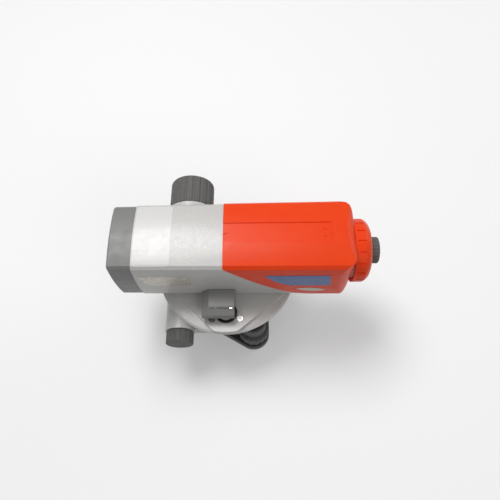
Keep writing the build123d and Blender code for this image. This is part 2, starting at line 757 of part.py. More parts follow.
def make_main_housing():
    """Cast housing: telescope body, round flange, skirt, bosses and the seats inside."""
    pocket_r = min(SKIRT_R, SKIRT_TOP_R) - SKIRT_WALL
    web_half_y = half_width(REAR_WALL_X) - BELLY_INSET - REAR_WEB_INSET
    with BuildPart() as main_housing:
        # Telescope body, cut down at the rear along the seam of the cover
        add(tube_solid(HOOD_SEAM_X, COVER_REAR_X, 0.0, COVER_STEP))
        extrude(seam_side(), amount=50, both=True, mode=Mode.SUBTRACT)
        # Round flange, skirt and the pad of the circular level
        revolve(skirt_profile(), axis=Axis.Z)
        extrude(pad_outline(FLANGE_UNDER_Z), amount=PAD_TOP_Z - FLANGE_UNDER_Z)
        # Bosses of the tangent screw and of the focusing knob
        extrude(ring(across(WORM_X, -TANGENT_BOSS_END_Y, DRIVE_Z), TANGENT_BOSS_R),
                amount=2 * TANGENT_BOSS_END_Y)
        extrude(tangent_webs(), amount=2 * TANGENT_WEB_HALF_Z)
        extrude(ring(across(FOCUS_X, RACK_Y, FOCUS_Z), FOCUS_BOSS_R),
                amount=FOCUS_BOSS_END_Y - RACK_Y)
        # Hollow of the telescope body
        add(tube_solid(HOOD_SEAM_X, COVER_REAR_X, -BODY_WALL, COVER_STEP + BODY_WALL),
            mode=Mode.SUBTRACT)
        # Front wall that carries the objective, and the wall behind the focusing tube
        add(tube_solid(HOOD_SEAM_X, FRONT_WALL_X, -BODY_WALL + 0.5))
        add(tube_solid(COVER_SEAM_X - INNER_WALL_T, COVER_SEAM_X, -BODY_WALL + 0.5))
        extrude(ring(along(HOOD_SEAM_X), FOCUS_TUBE_R), amount=80.0, mode=Mode.SUBTRACT)
        extrude(ring(along(HOOD_SEAM_X), OBJECTIVE_CELL_R), amount=OBJECTIVE_SEAT_L,
                mode=Mode.SUBTRACT)
        # Rear wall and threaded collar for the reticle and the eyepiece
        with BuildSketch(along(REAR_WALL_X, 0)):
            with Locations((0, SIGHT_Z)):
                Circle(REAR_WALL_R)
            with Locations((0, BELLY_Z + REAR_WEB_T)):
                Rectangle(2 * web_half_y, REAR_WEB_T)
            make_hull()
        extrude(amount=REAR_WALL_T)
        extrude(ring(along(REAR_WALL_X), CAP_THREAD_R), amount=COLLAR_END_X - REAR_WALL_X)
        extrude(ring(along(REAR_WALL_X), EYE_MOUNT_R - 2.0), amount=REAR_WALL_T,
                mode=Mode.SUBTRACT)
        extrude(ring(along(REAR_WALL_X + REAR_WALL_T), EYE_FLANGE_R), amount=40.0,
                mode=Mode.SUBTRACT)
        # Room for the worm wheel, pockets in the casting and the web round the axis
        extrude(ring(level(SKIRT_Z), pocket_r), amount=WEB_Z - SKIRT_Z, mode=Mode.SUBTRACT)
        extrude(ring(level(WEB_Z), pocket_r, NUT_WELL_R + 4.0), amount=POCKET_TOP_Z - WEB_Z,
                mode=Mode.SUBTRACT)
        extrude(ring(level(WEB_Z), AXIS_BUSH_R), amount=20.0, mode=Mode.SUBTRACT)
        extrude(ring(level(AXIS_BUSH_TOP_Z - 1.0), NUT_WELL_R), amount=20.0, mode=Mode.SUBTRACT)
        # Room for the horizontal circle, and the bore of the tangent screw
        extrude(ring(level(TRIBRACH_TOP_Z), CIRCLE_R + CIRCLE_GAP),
                amount=SKIRT_Z - TRIBRACH_TOP_Z, mode=Mode.SUBTRACT)
        extrude(ring(across(WORM_X, -TANGENT_BOSS_END_Y, DRIVE_Z), TANGENT_BUSH_R),
                amount=2 * TANGENT_BOSS_END_Y, mode=Mode.SUBTRACT)
        # Bore of the focusing shaft
        extrude(ring(across(FOCUS_X, RACK_Y, FOCUS_Z), FOCUS_BUSH_R), amount=20.0,
                mode=Mode.SUBTRACT)
        # Seat of the circular level and its adjusting screws
        with BuildSketch(level(WEB_Z)):
            with Locations((0, VIAL_Y)):
                Circle(VIAL_HOLDER_R + LOOSE)
        extrude(amount=20.0, mode=Mode.SUBTRACT)
        extrude(vial_lobes(WEB_Z, 0.5), amount=POCKET_TOP_Z - WEB_Z, mode=Mode.SUBTRACT)
        with BuildSketch(level(POCKET_TOP_Z)):
            with Locations(*vial_screw_places()):
                Circle(VIAL_SCREW_R + SEATED)
        extrude(amount=10.0, mode=Mode.SUBTRACT)
        with BuildSketch(level(PAD_TOP_Z - VIAL_SCREW_HEAD_T)):
            with Locations(*vial_screw_places()):
                Circle(VIAL_SCREW_HEAD_R + VIAL_SCREW_RECESS)
        extrude(amount=10.0, mode=Mode.SUBTRACT)
    save(main_housing, "main_housing")


def make_axis_bush():
    """Flanged brass bush by which the level turns on the vertical axis."""
    with BuildPart() as axis_bush:
        with BuildSketch(Plane.XZ):
            Polygon(
                (AXIS_TOP_R + RUNNING, AXIS_SHOULDER_Z + RUNNING),
                (AXIS_BUSH_R + 3.0, AXIS_SHOULDER_Z + RUNNING), (AXIS_BUSH_R + 3.0, WEB_Z),
                (AXIS_BUSH_R, WEB_Z), (AXIS_BUSH_R, AXIS_BUSH_TOP_Z),
                (AXIS_TOP_R + RUNNING, AXIS_BUSH_TOP_Z), align=None,
            )
        revolve(axis=Axis.Z)
    save(axis_bush, "axis_bush")


def make_tangent_bushes():
    """Two bushes that carry the tangent screw in the ends of its bosses."""
    with BuildPart() as tangent_bushes:
        for start in (-TANGENT_BOSS_END_Y, TANGENT_BOSS_END_Y - TANGENT_BUSH_L):
            extrude(ring(across(WORM_X, start, DRIVE_Z), TANGENT_BUSH_R,
                         TANGENT_SHAFT_R + RUNNING), amount=TANGENT_BUSH_L)
    save(tangent_bushes, "tangent_bushes")


def make_circle_window():
    """Clear index window that hangs from the skirt in front of the horizontal circle."""
    foot_z = TRIBRACH_TOP_Z + WINDOW_LIFT
    rise = (foot_z + WINDOW_H - SKIRT_Z) / (SKIRT_TOP_Z - SKIRT_Z)
    skirt_r = SKIRT_R + rise * (SKIRT_TOP_R - SKIRT_R)
    outer_r = max(skirt_r, CIRCLE_R + CIRCLE_GAP) + WINDOW_T
    with BuildPart() as circle_window:
        with BuildSketch(level(foot_z)):
            Circle(outer_r)
            Circle(CIRCLE_R + CIRCLE_GAP, mode=Mode.SUBTRACT)
            with Locations((outer_r, 0)):
                Rectangle(WINDOW_W, WINDOW_W, mode=Mode.INTERSECT)
        extrude(amount=WINDOW_H)
        chamfer(circle_window.edges().filter_by(Axis.Z).sort_by(Axis.X)[-2:], length=0.8)
        with BuildSketch(Plane.XZ):
            Polygon((0, SKIRT_Z - SEATED), (SKIRT_R + SEATED, SKIRT_Z - SEATED),
                    (SKIRT_TOP_R + SEATED, SKIRT_TOP_Z), (0, SKIRT_TOP_Z), align=None)
        revolve(axis=Axis.Z, mode=Mode.SUBTRACT)
    save(circle_window, "circle_window")


def make_front_hood():
    """Moulded hood over the objective, with a round opening in its front wall."""
    wall = HOOD_STEP + HOOD_WALL
    with BuildPart() as front_hood:
        add(tube_solid(HOOD_FRONT_X, HOOD_SEAM_X, -HOOD_STEP))
        chamfer(front_hood.faces().sort_by(Axis.X)[0].edges(), length=1.2)
        add(tube_solid(HOOD_FRONT_X + HOOD_WALL, HOOD_SEAM_X, -wall), mode=Mode.SUBTRACT)
        with BuildSketch(Plane.XZ):
            Polygon(
                (HOOD_FRONT_X - 1, SIGHT_Z), (HOOD_FRONT_X - 1, SIGHT_Z + HOOD_MOUTH_R + 1.4),
                (HOOD_FRONT_X + HOOD_WALL, SIGHT_Z + HOOD_MOUTH_R),
                (HOOD_FRONT_X + HOOD_WALL + 1, SIGHT_Z + HOOD_MOUTH_R),
                (HOOD_FRONT_X + HOOD_WALL + 1, SIGHT_Z), align=None,
            )
        revolve(axis=SIGHT_AXIS, mode=Mode.SUBTRACT)
    save(front_hood, "front_hood")


def face_arc(x, bulge, radius, rim_z, side):
    """Arc of a lens face from the axis to the rim; side is 1 for the rear face."""
    pole = x + side * bulge
    curve_r = (radius ** 2 + bulge ** 2) / (2 * abs(bulge))
    centre = pole - side * copysign(curve_r, bulge)
    middle = radius / 2
    middle_x = centre + side * copysign(sqrt(curve_r ** 2 - middle ** 2), bulge)
    ThreePointArc((pole, SIGHT_Z), (middle_x, SIGHT_Z + middle), (x, rim_z))


def lens_body(x0, thickness, radius, front_bulge, rear_bulge):
    """Lens turned about the line of sight; a bulge below zero is a hollow face."""
    x1 = x0 + thickness
    rim_z = SIGHT_Z + radius
    with BuildPart() as glass:
        with BuildSketch(Plane.XZ):
            with BuildLine():
                Line((x0 - front_bulge, SIGHT_Z), (x1 + rear_bulge, SIGHT_Z))
                face_arc(x1, rear_bulge, radius, rim_z, 1)
                Line((x1, rim_z), (x0, rim_z))
                face_arc(x0, front_bulge, radius, rim_z, -1)
            make_face()
        revolve(axis=SIGHT_AXIS)
    return glass


def make_objective():
    """Objective cell, its cemented lens and the ring that retains it."""
    with BuildPart() as objective_cell:
        extrude(ring(along(OBJECTIVE_CELL_X), OBJECTIVE_CELL_R - 0.02, OBJECTIVE_R),
                amount=HOOD_SEAM_X + OBJECTIVE_SEAT_L - OBJECTIVE_CELL_X)
        extrude(ring(along(OBJECTIVE_CELL_X + 9.5), OBJECTIVE_R, OBJECTIVE_R - 2.5), amount=1.5)
        chamfer(objective_cell.edges().filter_by(GeomType.CIRCLE).sort_by(Axis.X)[0:2], length=0.5)
    save(objective_cell, "objective_cell")

    objective_lens = lens_body(OBJECTIVE_CELL_X + 3.5, 6.0, OBJECTIVE_R - 0.03, 1.8, -0.6)
    save(objective_lens, "objective_lens")

    with BuildPart() as retaining_ring:
        extrude(ring(along(OBJECTIVE_CELL_X + 1.0), OBJECTIVE_R - 0.03, OBJECTIVE_R - 1.8),
                amount=2.0)
    save(retaining_ring, "objective_ring")


def make_focus_tube():
    """Guide tube of the focusing lens, slotted for the rack's arm."""
    seat_x = HOOD_SEAM_X + OBJECTIVE_SEAT_L
    reach = FOCUS_TRAVEL + FOCUS_CELL_L / 2 + 1.0
    with BuildPart() as focus_tube:
        extrude(ring(along(seat_x), FOCUS_TUBE_R - 0.02, FOCUS_TUBE_BORE_R),
                amount=COVER_SEAM_X - seat_x)
        with BuildSketch(across(FOCUS_X, 8.0, ARM_Z + ARM_T / 2)):
            RectangleRounded(2 * reach, ARM_T + 1.6, 1.0)
        extrude(amount=20.0, mode=Mode.SUBTRACT)
    save(focus_tube, "focus_tube")


def make_focusing_cell():
    """Sliding cell with an arm for the rack, its lens and the rack itself."""
    x0 = FOCUS_X - FOCUS_CELL_L / 2
    with BuildPart() as focusing_cell:
        extrude(ring(along(x0), FOCUS_TUBE_BORE_R - SLIDING), amount=FOCUS_CELL_L)
        with BuildSketch(across(FOCUS_X, 10.0, ARM_Z + ARM_T / 2)):
            Rectangle(FOCUS_CELL_L, ARM_T)
        extrude(amount=RACK_Y - 10.0)
        extrude(ring(along(x0), FOCUS_LENS_R), amount=FOCUS_CELL_L - 2.0, mode=Mode.SUBTRACT)
        extrude(ring(along(x0), FOCUS_LENS_R - 1.5), amount=FOCUS_CELL_L, mode=Mode.SUBTRACT)
    save(focusing_cell, "focusing_cell")

    focusing_lens = lens_body(x0 + 6.0, 4.0, FOCUS_LENS_R - 0.03, -0.9, -1.1)
    save(focusing_lens, "focusing_lens")

    pitch = pi * RACK_MODULE
    flare = tan(radians(FLANK_DEG))
    gap = pitch / 4 + RACK_BACKLASH / 2
    teeth = 2 * int(RACK_HALF_L / pitch) + 1
    deep, high = RACK_DEDENDUM * RACK_MODULE, RACK_ADDENDUM * RACK_MODULE
    with BuildPart() as focusing_rack:
        with BuildSketch(across(FOCUS_X, RACK_Y, PITCH_LINE_Z)):
            with Locations((0, -high)):
                Rectangle(2 * RACK_HALF_L, PITCH_LINE_Z + high - ARM_Z, align=(Align.CENTER, Align.MIN))
            with GridLocations(pitch, 1, teeth, 1):
                Polygon((-gap + deep * flare, deep), (-gap - high * flare, -high),
                        (gap + high * flare, -high), (gap - deep * flare, deep),
                        align=None, mode=Mode.SUBTRACT)
        extrude(amount=RACK_W)
    save(focusing_rack, "focusing_rack")


def pinion_outline():
    """Involute outline of the focusing pinion, one tooth pointing straight down."""
    base_r = PINION_R * cos(radians(FLANK_DEG))
    root_r = PINION_R - (RACK_ADDENDUM + 0.2) * RACK_MODULE
    tip_r = PINION_R + PINION_ADDENDUM * RACK_MODULE
    def involute(angle):
        return tan(angle) - angle
    half_tooth = pi / (2 * PINION_TEETH) - RACK_BACKLASH / (4 * PINION_R)
    points = []
    for tooth in range(PINION_TEETH):
        middle = pi / 2 + 2 * pi * tooth / PINION_TEETH
        flank = []
        for radius in (root_r, base_r, (base_r + 2 * PINION_R) / 3, PINION_R, tip_r):
            turn = involute(acos(base_r / max(radius, base_r)))
            flank.append((radius, half_tooth + involute(radians(FLANK_DEG)) - turn))
        points += [(r * cos(middle - a), r * sin(middle - a)) for r, a in flank]
        points += [(r * cos(middle + a), r * sin(middle + a)) for r, a in reversed(flank)]
    return points


def make_focus_drive():
    """Pinion shaft, its bush in the boss and the large fluted focusing knob."""
    shaft_end_y = FOCUS_KNOB_END_Y - 2.5
    with BuildPart() as focus_shaft:
        with BuildSketch(across(FOCUS_X, RACK_Y, FOCUS_Z)):
            Polygon(*pinion_outline(), align=None)
        extrude(amount=RACK_W)
        extrude(ring(across(FOCUS_X, RACK_Y + RACK_W, FOCUS_Z), FOCUS_SHAFT_R),
                amount=shaft_end_y - RACK_Y - RACK_W)
    save(focus_shaft, "focus_shaft")

    bush_y = RACK_Y + RACK_W + 2.0
    with BuildPart() as focus_bush:
        extrude(ring(across(FOCUS_X, bush_y, FOCUS_Z), FOCUS_BUSH_R, FOCUS_SHAFT_R + RUNNING),
                amount=FOCUS_BOSS_END_Y - bush_y)
    save(focus_bush, "focus_bush")

    with BuildPart() as focus_knob:
        face = across(FOCUS_X, FOCUS_KNOB_Y, FOCUS_Z)
        length = FOCUS_KNOB_END_Y - FOCUS_KNOB_Y
        add(fluted(FOCUS_KNOB_R, FOCUS_KNOB_FLUTES, 0.8, face, length, 1.6))
        extrude(ring(face, FOCUS_KNOB_R - 3.2, FOCUS_SHAFT_R + 4.0), amount=length - 4.0,
                mode=Mode.SUBTRACT)
        extrude(ring(face, FOCUS_SHAFT_R), amount=shaft_end_y - FOCUS_KNOB_Y, mode=Mode.SUBTRACT)
    save(focus_knob, "focus_knob")


def make_compensator_frame():
    """Cast frame on the floor of the body: two light openings, ledges and a top bridge."""
    length = FRAME_X1 - FRAME_X0
    middle_x = (FRAME_X0 + FRAME_X1) / 2
    top = SWING_Z + BRIDGE_RISE
    with BuildPart() as frame:
        with BuildSketch(level(FLOOR_Z)):
            with Locations((middle_x, 0)):
                Rectangle(length, 2 * FRAME_FOOT_HALF_Y)
        extrude(amount=FRAME_T)
        for x in (FRAME_X0, FRAME_X1 - FRAME_T):
            with BuildSketch(along(x)):
                with BuildLine():
                    low, high = FLOOR_Z - SIGHT_Z, top - SIGHT_Z
                    hip = low + FRAME_HALF_Y - FRAME_FOOT_HALF_Y + 1.0
                    Polyline((-FRAME_FOOT_HALF_Y, low), (FRAME_FOOT_HALF_Y, low),
                             (FRAME_HALF_Y, hip), (FRAME_HALF_Y, high),
                             (-FRAME_HALF_Y, high), (-FRAME_HALF_Y, hip), close=True)
                make_face()
                Circle(LIGHT_R, mode=Mode.SUBTRACT)
            extrude(amount=FRAME_T)
        for x, inwards in ((FRAME_X0 + FRAME_T, 1), (FRAME_X1 - FRAME_T, -1)):
            with BuildSketch(level(LEDGE_Z - LEDGE_T)):
                with Locations((x + inwards * LEDGE_W / 2, 0)):
                    Rectangle(LEDGE_W, 2 * LIGHT_R)
            extrude(amount=LEDGE_T)
        with BuildSketch(level(top)):
            with Locations((middle_x, 0)):
                Rectangle(length, 2 * FRAME_HALF_Y)
                Rectangle(length - 2 * BRIDGE_SLOT_INSET, BRIDGE_SLOT_W, mode=Mode.SUBTRACT)
        extrude(amount=FRAME_T)
    save(frame, "compensator_frame")


def make_fixed_prisms():
    """Two fixed prisms that send the light down to the pendulum and back up."""
    top_z = SIGHT_Z + LIGHT_R
    with BuildPart() as fixed_prisms:
        for x, inwards in ((FRAME_X0 + FRAME_T, 1), (FRAME_X1 - FRAME_T, -1)):
            with BuildSketch(Plane.XZ.offset(-LIGHT_R)):
                Polygon((x, LEDGE_Z), (x + inwards * FIXED_PRISM_L, LEDGE_Z),
                        (x + inwards * FIXED_PRISM_TOP_L, top_z), (x, top_z), align=None)
            extrude(amount=2 * LIGHT_R)
    save(fixed_prisms, "fixed_prisms")


def make_pendulum():
    """Pendulum: top bar, two arms and a tray, with its prism, damper plate and tapes."""
    bar_z = SWING_Z - TAPE_L - BAR_T
    with BuildPart() as pendulum:
        with BuildSketch(level(bar_z)):
            with Locations((SWING_X, 0)):
                Rectangle(2 * BAR_HALF_X, 2 * PENDULUM_HALF_Y)
        extrude(amount=BAR_T)
        for y in (-PENDULUM_HALF_Y, PENDULUM_HALF_Y - PENDULUM_T):
            with BuildSketch(Plane.XZ.offset(-y)):
                Polygon((SWING_X - BAR_HALF_X, bar_z), (SWING_X + BAR_HALF_X, bar_z),
                        (SWING_X + TRAY_HALF_X, TRAY_Z), (SWING_X - TRAY_HALF_X, TRAY_Z), align=None)
            extrude(amount=-PENDULUM_T)
        with BuildSketch(level(TRAY_Z)):
            with Locations((SWING_X, 0)):
                Rectangle(2 * TRAY_HALF_X, 2 * PENDULUM_HALF_Y)
        extrude(amount=PENDULUM_T)
    save(pendulum, "pendulum")

    prism_z = TRAY_Z + PENDULUM_T
    prism_half_y = PENDULUM_HALF_Y - PENDULUM_T - SEATED
    with BuildPart() as pendulum_prism:
        with BuildSketch(Plane.XZ.offset(-prism_half_y)):
            with Locations((SWING_X, prism_z)):
                Trapezoid(2 * TRAY_HALF_X - 1.0, SWUNG_PRISM_T, 48.0,
                          align=(Align.CENTER, Align.MIN))
        extrude(amount=2 * prism_half_y)
    save(pendulum_prism, "pendulum_prism")

    with BuildPart() as damper_plate:
        with BuildSketch(level(TRAY_Z)):
            with Locations((SWING_X, 0)):
                Rectangle(2 * DAMPER_HALF_X, 2 * DAMPER_HALF_Y)
        extrude(amount=-DAMPER_T)
    save(damper_plate, "damper_plate")

    with BuildPart() as tapes:
        with BuildSketch(level(bar_z + BAR_T)):
            with Locations((SWING_X, 0)):
                with GridLocations(TAPE_SPREAD_X, TAPE_SPREAD_Y, 2, 2):
                    Rectangle(TAPE_T, TAPE_W)
        extrude(amount=TAPE_L + BRIDGE_RISE - LOOSE)
    save(tapes, "suspension_tapes")

    magnet_z = FLOOR_Z + FRAME_T
    with BuildPart() as magnets:
        with BuildSketch(level(magnet_z)):
            with Locations((SWING_X, 0)):
                with GridLocations(1.0, DAMPER_HALF_Y + 1.0, 1, 2):
                    Circle(MAGNET_R)
        extrude(amount=TRAY_Z - DAMPER_T - DAMPER_GAP - magnet_z)
    save(magnets, "damper_magnets")


def make_reticle():
    """Eyepiece mount, with the reticle in its cell held by four adjusting screws."""
    seat_x = REAR_WALL_X + REAR_WALL_T
    cell_x = RETICLE_X - 1.5
    with BuildPart() as eyepiece_mount:
        extrude(ring(along(seat_x), EYE_FLANGE_R - 0.03, RETICLE_ROOM_R), amount=2.0)
        extrude(ring(along(seat_x), EYE_MOUNT_R, RETICLE_ROOM_R), amount=RETICLE_X + 3.5 - seat_x)
        extrude(ring(along(RETICLE_X + 3.5), EYE_MOUNT_R, EYE_BORE_R + SLIDING),
                amount=EYE_MOUNT_END_X - RETICLE_X - 3.5)
        for turn in range(4):
            with BuildSketch(screw_plane(turn, RETICLE_CELL_R)):
                Circle(RETICLE_SCREW_R + SEATED)
            extrude(amount=12.0, mode=Mode.SUBTRACT)
    save(eyepiece_mount, "eyepiece_mount")

    with BuildPart() as reticle_cell:
        extrude(ring(along(cell_x), RETICLE_CELL_R, RETICLE_R), amount=3.0)
        extrude(ring(along(cell_x + 2.2), RETICLE_R, RETICLE_R - 1.0), amount=0.8)
    save(reticle_cell, "reticle_cell")

    with BuildPart() as reticle:
        extrude(ring(along(cell_x + 0.7), RETICLE_R - 0.02), amount=1.5)
    save(reticle, "reticle")

    with BuildPart() as reticle_screws:
        for turn in range(4):
            with BuildSketch(screw_plane(turn, RETICLE_CELL_R + SEATED)):
                Circle(RETICLE_SCREW_R)
            extrude(amount=EYE_MOUNT_R - RETICLE_CELL_R)
            with BuildSketch(screw_plane(turn, EYE_MOUNT_R + SEATED)):
                Circle(RETICLE_SCREW_R + 1.0)
            extrude(amount=2.0)
    save(reticle_screws, "reticle_screws")


def screw_plane(turn, radius):
    """Plane facing outwards from the line of sight, for one of the four reticle screws."""
    y, z = cos(turn * pi / 2), sin(turn * pi / 2)
    return Plane(origin=(RETICLE_X, radius * y, SIGHT_Z + radius * z),
                 x_dir=(1, 0, 0), z_dir=(0, y, z))


def make_eyepiece():
    """Sliding barrel with its lenses, and the fluted knob that turns on it."""
    barrel_end_x = EYEPIECE_REAR_X - 3.6
    with BuildPart() as barrel:
        extrude(ring(along(BARREL_X), EYE_BORE_R, EYE_BORE_R - 1.4), amount=barrel_end_x - BARREL_X)
        for x in (BARREL_X + 5.0, barrel_end_x - 1.0):
            extrude(ring(along(x), EYE_BORE_R - 1.4, EYE_BORE_R - 2.6), amount=1.0)
    save(barrel, "eyepiece_barrel")

    lens_r = EYE_BORE_R - 1.43
    field_lens = lens_body(BARREL_X + 1.0, 3.0, lens_r, 1.0, 0.4)
    eye_lens = lens_body(barrel_end_x - 6.0, 4.0, lens_r, 1.2, 0.6)
    with BuildPart() as lenses:
        add(field_lens.part)
        add(eye_lens.part)
    save(lenses, "eyepiece_lenses")

    with BuildPart() as knob:
        add(fluted(EYEPIECE_KNOB_R, EYEPIECE_FLUTES, 0.45, along(EYEPIECE_KNOB_X),
                   EYEPIECE_REAR_X - EYEPIECE_KNOB_X, 0.9))
        extrude(ring(along(EYEPIECE_KNOB_X), EYE_BORE_R + RUNNING),
                amount=barrel_end_x + 0.3 - EYEPIECE_KNOB_X, mode=Mode.SUBTRACT)
        with BuildSketch(Plane.XZ):
            Polygon((barrel_end_x, SIGHT_Z), (barrel_end_x, SIGHT_Z + 4.4),
                    (EYEPIECE_REAR_X + 0.1, SIGHT_Z + 7.4), (EYEPIECE_REAR_X + 0.1, SIGHT_Z),
                    align=None)
        revolve(axis=SIGHT_AXIS, mode=Mode.SUBTRACT)
    save(knob, "eyepiece_knob")


def make_reticle_cap():
    """Ribbed cap that screws on the collar and covers the reticle screws."""
    front_x = COVER_REAR_X + 0.25
    with BuildPart() as cap:
        with BuildSketch(Plane.XZ):
            with BuildLine():
                Polyline((front_x, SIGHT_Z + CAP_THREAD_R + SEATED), (front_x, SIGHT_Z + CAP_R),
                         (CAP_SHOULDER_X, SIGHT_Z + CAP_R))
                ThreePointArc((CAP_SHOULDER_X, SIGHT_Z + CAP_R),
                              (CAP_REAR_X - 1.8, SIGHT_Z + CAP_R - 3.2),
                              (CAP_REAR_X, SIGHT_Z + CAP_R - 8.0))
                Polyline((CAP_REAR_X, SIGHT_Z + CAP_R - 8.0),
                         (CAP_REAR_X, SIGHT_Z + EYEPIECE_KNOB_R + 0.5),
                         (CAP_REAR_X - CAP_WALL, SIGHT_Z + EYEPIECE_KNOB_R + 0.5),
                         (CAP_REAR_X - CAP_WALL, SIGHT_Z + CAP_R - 9.0),
                         (COLLAR_END_X + 0.4, SIGHT_Z + CAP_THREAD_R + SEATED),
                         (front_x, SIGHT_Z + CAP_THREAD_R + SEATED))
            make_face()
        revolve(axis=SIGHT_AXIS)
        with BuildSketch(along(front_x + CAP_LIP)):
            with PolarLocations(CAP_R, CAP_NOTCHES):
                Rectangle(2 * CAP_NOTCH_DEEP, CAP_NOTCH_W)
        extrude(amount=CAP_NOTCH_L, mode=Mode.SUBTRACT)
    save(cap, "reticle_cap")


def make_rear_cover():
    """Moulded cover over the rear half, with a sight channel along its top."""
    with BuildPart() as rear_cover:
        add(tube_solid(COVER_SEAM_X, COVER_REAR_X, COVER_STEP, 0.0))
        extrude(seam_side(SEAM_GAP), amount=50, both=True, mode=Mode.INTERSECT)
        add(tube_solid(COVER_SEAM_X, COVER_REAR_X, -COVER_WALL, COVER_WALL), mode=Mode.SUBTRACT)
        extrude(ring(along(COVER_REAR_X - 10.0), CAP_THREAD_R + 0.4), amount=20.0,
                mode=Mode.SUBTRACT)
        with BuildSketch(level(CHANNEL_Z)):
            with Locations(((COVER_SEAM_X + CHANNEL_END_X) / 2, 0)):
                Rectangle(CHANNEL_END_X - COVER_SEAM_X, 2 * CHANNEL_HALF_Y)
        extrude(amount=10.0, mode=Mode.SUBTRACT)
        with BuildSketch(level(CHANNEL_Z)):
            Polygon((COVER_SEAM_X + 0.4, -1.6), (COVER_SEAM_X + 0.4, 1.6),
                    (COVER_SEAM_X + 3.6, 0), align=None)
            with Locations((CHANNEL_END_X - 5.5, -3.2), (CHANNEL_END_X - 5.5, 3.2)):
                Circle(1.0)
        extrude(amount=0.6)
    save(rear_cover, "rear_cover")


def make_circular_level():
    """Glass vial, its black holder and the three socket-head adjusting screws."""
    with BuildPart() as holder:
        with BuildSketch(level(VIAL_HOLDER_Z)):
            with Locations((0, VIAL_Y)):
                Circle(VIAL_HOLDER_R)
        extrude(amount=VIAL_HOLDER_TOP_Z - VIAL_HOLDER_Z)
        extrude(vial_lobes(VIAL_LOBE_Z), amount=VIAL_LOBE_T)
        with BuildSketch(level(VIAL_HOLDER_Z + 1.5)):
            with Locations((0, VIAL_Y)):
                Circle(VIAL_R)
        extrude(amount=20.0, mode=Mode.SUBTRACT)
        with BuildSketch(level(VIAL_LOBE_Z)):
            with Locations(*vial_screw_places()):
                Circle(VIAL_SCREW_R + SEATED)
        extrude(amount=VIAL_LOBE_T, mode=Mode.SUBTRACT)
    save(holder, "vial_holder")

    with BuildPart() as vial:
        with BuildSketch(level(VIAL_HOLDER_Z + 1.5)):
            with Locations((0, VIAL_Y)):
                Circle(VIAL_R - 0.03)
        extrude(amount=VIAL_TOP_Z - VIAL_HOLDER_Z - 1.5)
        fillet(vial.faces().sort_by(Axis.Z)[-1].edges(), radius=1.2)
    save(vial, "circular_vial")

    with BuildPart() as screws:
        with BuildSketch(level(VIAL_LOBE_Z - 0.6)):
            with Locations(*vial_screw_places()):
                Circle(VIAL_SCREW_R)
        extrude(amount=PAD_TOP_Z - VIAL_SCREW_HEAD_T - VIAL_LOBE_Z + 0.6)
        with BuildSketch(level(PAD_TOP_Z - VIAL_SCREW_HEAD_T)):
            with Locations(*vial_screw_places()):
                Circle(VIAL_SCREW_HEAD_R)
        extrude(amount=VIAL_SCREW_HEAD_T)
        with BuildSketch(level(PAD_TOP_Z)):
            with Locations(*vial_screw_places()):
                RegularPolygon(VIAL_SOCKET_R, 6)
        extrude(amount=-1.0, mode=Mode.SUBTRACT)
    save(screws, "vial_screws")


def make_mirror():
    """Hood over the circular level, with a sloping mirror and a window to the eyepiece."""
    wall = MIRROR_WALL
    roof_z = MIRROR_TOP_Z - wall
    slope = (MIRROR_X0, MIRROR_TOP_Z - MIRROR_SLOPE_DROP)
    depth = -MIRROR_FRONT_Y - HALF_BODY
    room = depth - MIRROR_FRONT_WALL
    window_h = roof_z - wall - MIRROR_FOOT_Z
    window_z = MIRROR_FOOT_Z + wall / 2 + window_h / 2
    with BuildPart() as mirror_housing:
        with BuildSketch(Plane.XZ.offset(HALF_BODY)):
            Polygon((MIRROR_X0, MIRROR_FOOT_Z), (MIRROR_X1, MIRROR_FOOT_Z),
                    (MIRROR_X1, MIRROR_TOP_Z), (MIRROR_TOP_X0, MIRROR_TOP_Z), slope, align=None)
        extrude(amount=depth, taper=MIRROR_TAPER)
        chamfer(mirror_housing.faces().sort_by(Axis.Y)[0].edges().group_by(Axis.Z)[-1],
                length=6.0, length2=5.0)
        with BuildSketch(Plane.XZ.offset(HALF_BODY)):
            Polygon((MIRROR_X0 + wall, MIRROR_FOOT_Z), (MIRROR_X1 - wall, MIRROR_FOOT_Z),
                    (MIRROR_X1 - wall, roof_z), (MIRROR_TOP_X0 + wall, roof_z),
                    (slope[0] + wall, slope[1] - wall / 2), align=None)
        extrude(amount=room, mode=Mode.SUBTRACT)
        with BuildSketch(along(MIRROR_X1 - wall - 1.0, 0)):
            with Locations((MIRROR_WINDOW_Y, window_z)):
                Rectangle(2 * MIRROR_WINDOW_HALF, window_h)
        extrude(amount=2 * wall + 1.0, mode=Mode.SUBTRACT)
        add(tube_solid(MIRROR_X0 - 5.0, MIRROR_X1 + 5.0, SEAM_GAP), mode=Mode.SUBTRACT)
    save(mirror_housing, "mirror_housing")

    with BuildPart() as mirror_window:
        with BuildSketch(along(MIRROR_X1 - wall, 0)):
            with Locations((MIRROR_WINDOW_Y, window_z)):
                Rectangle(2 * (MIRROR_WINDOW_HALF - SEATED), window_h - 2 * SEATED)
        extrude(amount=MIRROR_PANE_T)
    save(mirror_window, "mirror_window")

    # The mirror stands at 45 degrees over the circular level, its top edge under the roof
    glass_h = roof_z - MIRROR_FOOT_Z - SEATED
    with BuildPart() as mirror_glass:
        with BuildSketch(Plane.XZ.offset(HALF_BODY + room - MIRROR_GLASS_W - SEATED)):
            with Locations((MIRROR_X1 - wall - MIRROR_PANE_T, roof_z - SEATED)):
                Polygon((0, 0), (-glass_h, -glass_h), (-glass_h - MIRROR_GLASS_T, -glass_h),
                        (-MIRROR_GLASS_T, 0), align=None)
        extrude(amount=MIRROR_GLASS_W)
    save(mirror_glass, "mirror_glass")


